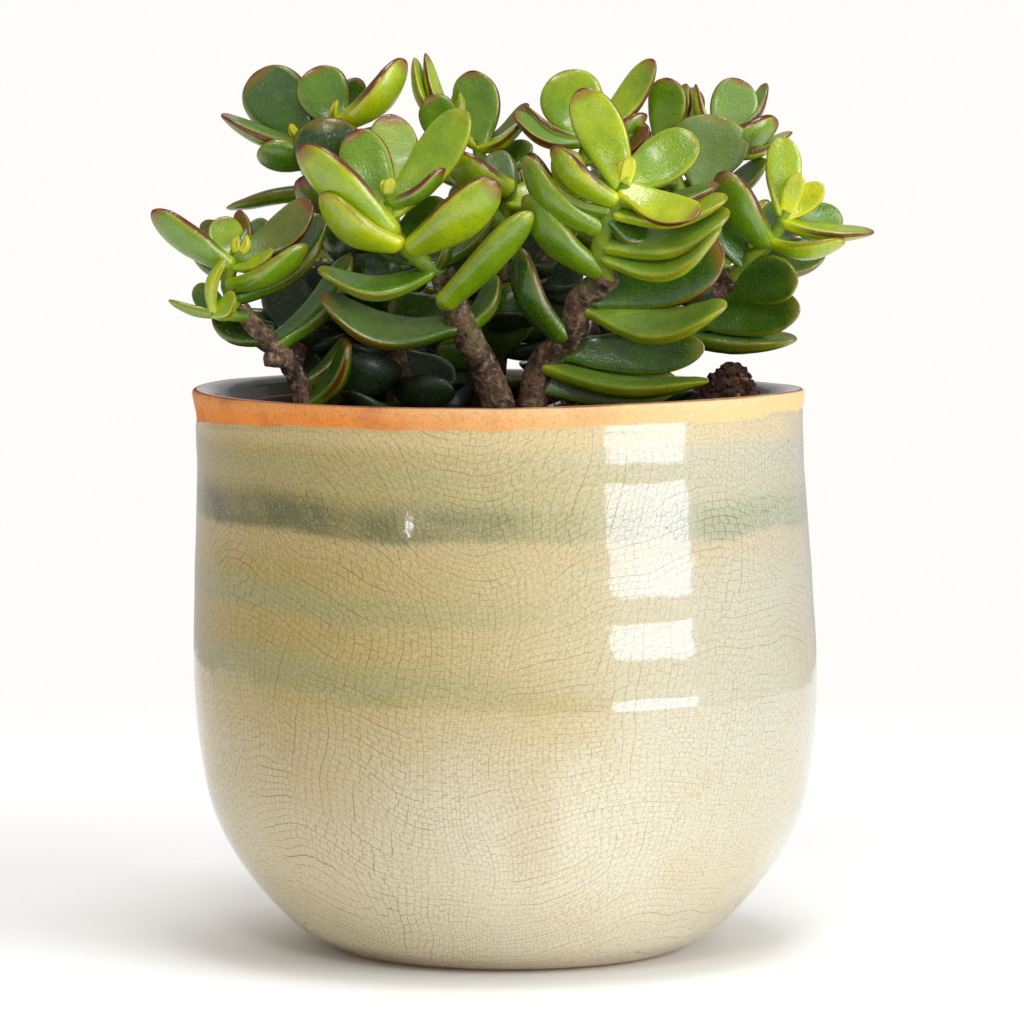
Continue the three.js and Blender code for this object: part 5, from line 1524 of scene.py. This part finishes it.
# %% The branch of the tree that sets leaves
def leaf_branch(graph, wires):
    """Round shells on the loose points, moved to the leaf's formula."""
    place = graph.node("GeometryNodeInputPosition")
    shell = graph.node("GeometryNodeMeshUVSphere", {}, {
        "Segments": wires["Leaf sides"], "Rings": wires["Leaf rings"], "Radius": 1.0})
    shell = stored(graph, shell, "ball", place)
    marked = stored(graph, wires["Geometry"], "foot", place)
    copies = graph.node("GeometryNodeInstanceOnPoints", {}, {
        "Points": marked, "Selection": above(graph, "width", 0.0001), "Instance": shell})
    real = graph.node("GeometryNodeRealizeInstances", {}, {"Geometry": copies})
    spot, across, high, t = leaf_spot(graph, wires)
    placed = graph.node("GeometryNodeSetPosition", {}, {"Geometry": real, "Position": spot})
    lumps = (graph.noise(place, 170.0, 2.0, 0.5) - 0.5) * wires["Lumps"] * graph.smooth(t, 0.05, 0.3)
    normal = graph.node("GeometryNodeInputNormal")
    uneven = graph.node("GeometryNodeSetPosition", {}, {"Geometry": placed, "Offset": normal * lumps})
    kept = stored(graph, uneven, "blade", graph.join(across, high, t))
    return stored(graph, kept, "is_stem", 0.0)


# %% The whole tree
def growth_tree():
    graph, wires = new_tree("growth", {
        "Step": ("Float", 0.0008), "Sides": ("Int", 18), "Ring spacing": ("Float", 0.0055),
        "Ring height": ("Float", 0.0003), "Bark scale": ("Float", 420.0), "Bark height": ("Float", 0.0008),
        "Leaf sides": ("Int", 26), "Leaf rings": ("Int", 30), "Widest": ("Float", 0.62),
        "Foot width": ("Float", 0.50), "Foot limit": ("Float", 0.0023), "Foot flare": ("Float", 0.0),
        "Foot sink": ("Float", -0.0010), "Thickness": ("Float", 0.0015), "Thickness share": ("Float", 0.28),
        "Cup": ("Float", 0.1), "Lumps": ("Float", 0.0005),
        "Stem finish": ("Material", None), "Leaf finish": ("Material", None)})
    real = graph.together(stem_branch(graph, wires), leaf_branch(graph, wires))
    soft = graph.node("GeometryNodeSetShadeSmooth", {}, {"Geometry": real, "Shade Smooth": True})
    leaves = graph.node("GeometryNodeSetMaterial", {}, {"Geometry": soft, "Material": wires["Leaf finish"]})
    return end_tree(graph, graph.node("GeometryNodeSetMaterial", {}, {
        "Geometry": leaves, "Selection": above(graph, "is_stem", 0.5), "Material": wires["Stem finish"]}))


# %% [markdown]
# ## Leaf, green stem and bark
# A jade leaf is a water bag under a waxed skin: glossy, finely grained, dotted with pale pores, yellower
# towards its foot, its margin and its underside. Strong sun paints the margin red from the tip down, with
# a yellow line inside the red, which is partly painted light shining through the thin margin. All of that
# follows the leaf's own coordinates, across, high and along, which the tree stored as an attribute, and
# the look that each leaf carries.

# %% Colours of a leaf
# Age, and the green of a leaf of that age; the last stop, past the oldest, is painted shade for the shade
# look
LEAF_AGES = [
    (0.0, seen(0.93, 0.93, 0.09)), (0.16, seen(0.74, 0.82, 0.06)), (0.38, seen(0.50, 0.65, 0.05)),
    (0.60, seen(0.31, 0.49, 0.05)), (0.80, seen(0.18, 0.34, 0.04)), (0.93, seen(0.13, 0.27, 0.06)),
    (1.0, seen(0.09, 0.18, 0.05)),
]
LEAF = {
    "bloom": seen(0.60, 0.70, 0.40), "pore": seen(0.72, 0.80, 0.42), "pale_grain": seen(0.74, 0.82, 0.30),
    "dark_grain": seen(0.08, 0.16, 0.01), "flush": seen(0.50, 0.20, 0.14), "gold": seen(0.76, 0.66, 0.08),
    "red": seen(0.52, 0.21, 0.10), "red_line": seen(0.38, 0.09, 0.05),
}
PORE_SPACING = 0.8


def leaf_places(graph):
    """Wires that all parts of the leaf's finish share; lit is 0 on leaves painted with the shade look, and 1
    on others.
    """
    place = object_place(graph)
    across, high, along = graph.parts(attribute(graph, "blade", "Vector"))
    age, blush, frost = graph.parts(attribute(graph, "look", "Vector"))
    aside = graph.maths("ABSOLUTE", across)
    margin = graph.largest(graph.smooth(aside, 0.78, 1.0), graph.smooth(along, 0.90, 1.0))
    return SimpleNamespace(
        place=place, along=along, aside=aside, margin=margin, age=age, blush=blush, frost=frost,
        on_top=graph.smooth(high, 0.1, 0.6), lit=graph.smooth(age, 1.1, 0.9),
        cloud=graph.noise(place, 130.0, 3.0, 0.55), mottle=graph.noise(place, 420.0, 3.0, 0.6),
        grain=graph.noise(place, 1900.0, 2.0, 0.6))


def leaf_green(graph, at):
    tone = at.age + (at.cloud - 0.5) * 0.34 + (attribute(graph, "chance") - 0.5) * 0.12
    tone = tone + (at.mottle - 0.5) * 0.14 - 0.10 * at.margin
    tone = tone - 0.10 * (1 - graph.smooth(at.along, 0.0, 0.3)) - 0.02 * (1 - at.on_top)
    return graph.node("ShaderNodeValToRGB", {"stops": LEAF_AGES}, {"Fac": tone})


def leaf_skin(graph, at, colour):
    """Bloom, pores and grain on the green, and where bloom and pores are."""
    bloom = at.frost * at.on_top * (1 - at.margin * 0.7) * (0.35 + 0.85 * at.mottle)
    colour = graph.mix(bloom * 0.50, colour, LEAF["bloom"])
    pore = graph.cells(at.place, PORE_SPACING * MM)
    pores = (1 - graph.smooth(pore, 0.08, 0.24)) * 0.13 * (0.2 + 0.8 * at.lit)
    colour = graph.mix(pores, colour, LEAF["pore"])
    colour = graph.mix(graph.smooth(at.grain, 0.54, 0.74) * 0.22, colour, LEAF["pale_grain"])
    colour = graph.mix(graph.smooth(at.grain, 0.48, 0.26) * 0.27, colour, LEAF["dark_grain"])
    return colour, bloom, pores


def sun_red(graph, at, colour):
    """From the blade outwards: a flush on some leaves, gold, a red wash, and a dark red line."""
    outer = graph.smooth(at.along, 0.15, 0.80)
    ragged = at.aside + (at.mottle - 0.5) * 0.05

    def edge(start, end, tip_start, tip_end):
        return graph.largest(graph.smooth(ragged, start, end), graph.smooth(at.along, tip_start, tip_end))

    flush = graph.smooth(at.blush, 1.4, 2.4) * graph.smooth(at.along, 0.0, 0.5) * (0.5 + at.mottle)
    colour = graph.mix(flush * 0.7, colour, LEAF["flush"])
    # The gold line is partly the leaf's own yellow and partly painted light shining through the margin;
    # leaves painted in shade don't get it
    gold = graph.smallest(edge(0.82, 0.99, 0.86, 1.0) * (0.25 + 0.3 * at.blush), 0.6)
    colour = graph.mix(gold * outer * at.lit, colour, LEAF["gold"])
    wash = graph.smallest(edge(0.90, 0.99, 0.85, 0.97) * at.blush * 0.66, 0.88)
    colour = graph.mix(wash * outer, colour, LEAF["red"])
    line = graph.smallest(edge(0.955, 0.985, 0.96, 0.99) * (0.15 + 0.75 * at.blush), 0.94)
    return graph.mix(line * graph.smooth(at.along, 0.05, 0.5) * at.lit, colour, LEAF["red_line"])


# %% Leaf finish
def leaf_finish():
    material, graph = new_finish("leaf")
    at = leaf_places(graph)
    colour, bloom, pores = leaf_skin(graph, at, leaf_green(graph, at))
    relief = at.grain * 0.5 + at.mottle * 0.65 - pores * 0.5
    end_finish(
        graph, Base_Color=sun_red(graph, at, colour),
        Roughness=0.15 + 0.14 * at.mottle + 0.12 * bloom + 0.3 * (1 - at.lit),
        IOR=1.5, Specular_IOR_Level=0.9, Coat_Weight=0.25, Coat_Roughness=0.12, Coat_IOR=1.45,
        Subsurface_Weight=0.06, Subsurface_Radius=(0.6, 1.0, 0.2), Subsurface_Scale=0.0012,
        Normal=bump(graph, relief, 0.0002, 0.9))
    return material


# %% Green stem and bark
def green_stem_finish():
    material, graph = new_finish("green_stem")
    place = object_place(graph)
    cloud = graph.noise(place, 180.0, 3.0, 0.6)
    grain = graph.noise(place, 1500.0, 3.0, 0.6)
    colour = graph.mix(graph.smooth(cloud, 0.3, 0.7), seen(0.34, 0.48, 0.06), seen(0.56, 0.65, 0.12))
    colour = graph.mix(graph.smooth(grain, 0.58, 0.72) * 0.5, colour, seen(0.36, 0.34, 0.12))
    end_finish(graph, Base_Color=colour, Roughness=0.44 + 0.15 * cloud, IOR=1.45, Coat_Weight=0.08,
               Coat_Roughness=0.25, Normal=bump(graph, grain, 0.00015))
    return material


def bark_finish():
    material, graph = new_finish("bark")
    place = object_place(graph)
    cloud = graph.noise(place, 110.0, 4.0, 0.65)
    flake = graph.noise(place, 620.0, 4.0, 0.7)
    moss = graph.smooth(graph.noise(place, 75.0, 3.0, 0.6), 0.5, 0.66)
    scar = attribute(graph, "scar")
    colour = graph.mix(graph.smooth(cloud, 0.3, 0.7), seen(0.22, 0.15, 0.11), seen(0.55, 0.42, 0.33))
    colour = graph.mix(graph.smooth(flake, 0.50, 0.64) * 0.7, colour, seen(0.74, 0.62, 0.52))
    colour = graph.mix(moss * 0.5, colour, seen(0.47, 0.49, 0.27))
    colour = graph.mix(graph.smooth(flake, 0.46, 0.32) * 0.95, colour, seen(0.11, 0.07, 0.05))
    colour = graph.mix(graph.smooth(scar, 0.55, 0.95) * 0.55, colour, seen(0.16, 0.10, 0.08))
    end_finish(graph, Base_Color=colour, Roughness=0.62 + 0.2 * flake, IOR=1.45,
               Normal=bump(graph, flake - scar * 0.15, 0.0009))
    return material


# %% Grow every piece of the plant
tree = growth_tree()
leaf = leaf_finish()
green = {"Leaf finish": leaf, "Stem finish": green_stem_finish(), "Ring spacing": 0.0062,
         "Ring height": 0.0002, "Bark height": 0.00015}
# The tree's inputs for each slot, where they aren't the usual ones
SLOT_VALUES = {
    "bark": {"Leaf finish": leaf, "Stem finish": bark_finish()},
    "shoot": green,
    "old_leaf": {**green, "Foot width": 0.6, "Foot limit": 0.0025, "Foot flare": 0.2, "Thickness": 0.0021,
                 "Foot sink": -0.0014},
}
SPENT_NUMBERS = ("girth", "reach", "face", "width", "bend", "foot", "ball")     # no finish reads them
leaf_chance = seeded(SEED + 1)
print("growth tree:", len(tree.nodes), "nodes; leaf finish:", len(leaf.node_tree.nodes), "nodes")

for node, (stems, leaves, slot) in plant.items():
    piece = new_object("plant_" + node, seed_mesh(node, stems, leaves, leaf_chance))
    grow(piece, tree, SLOT_VALUES[slot])
    for name in SPENT_NUMBERS:
        if name in piece.data.attributes:
            piece.data.attributes.remove(piece.data.attributes[name])
    dress(piece, node, slot)

# %% [markdown]
# ## The last look at the size
# The dressed plant has to keep the size of the frame. The lines printed here set the corners of both boxes
# side by side.

# %% Compare the boxes and finish
visual_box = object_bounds()
for word, cad_corner, corner in zip(("low", "high"), cad_box, visual_box):
    print(word, "corner of frame and model in mm:", [round(v / MM, 1) for v in cad_corner],
          [round(v / MM, 1) for v in corner])
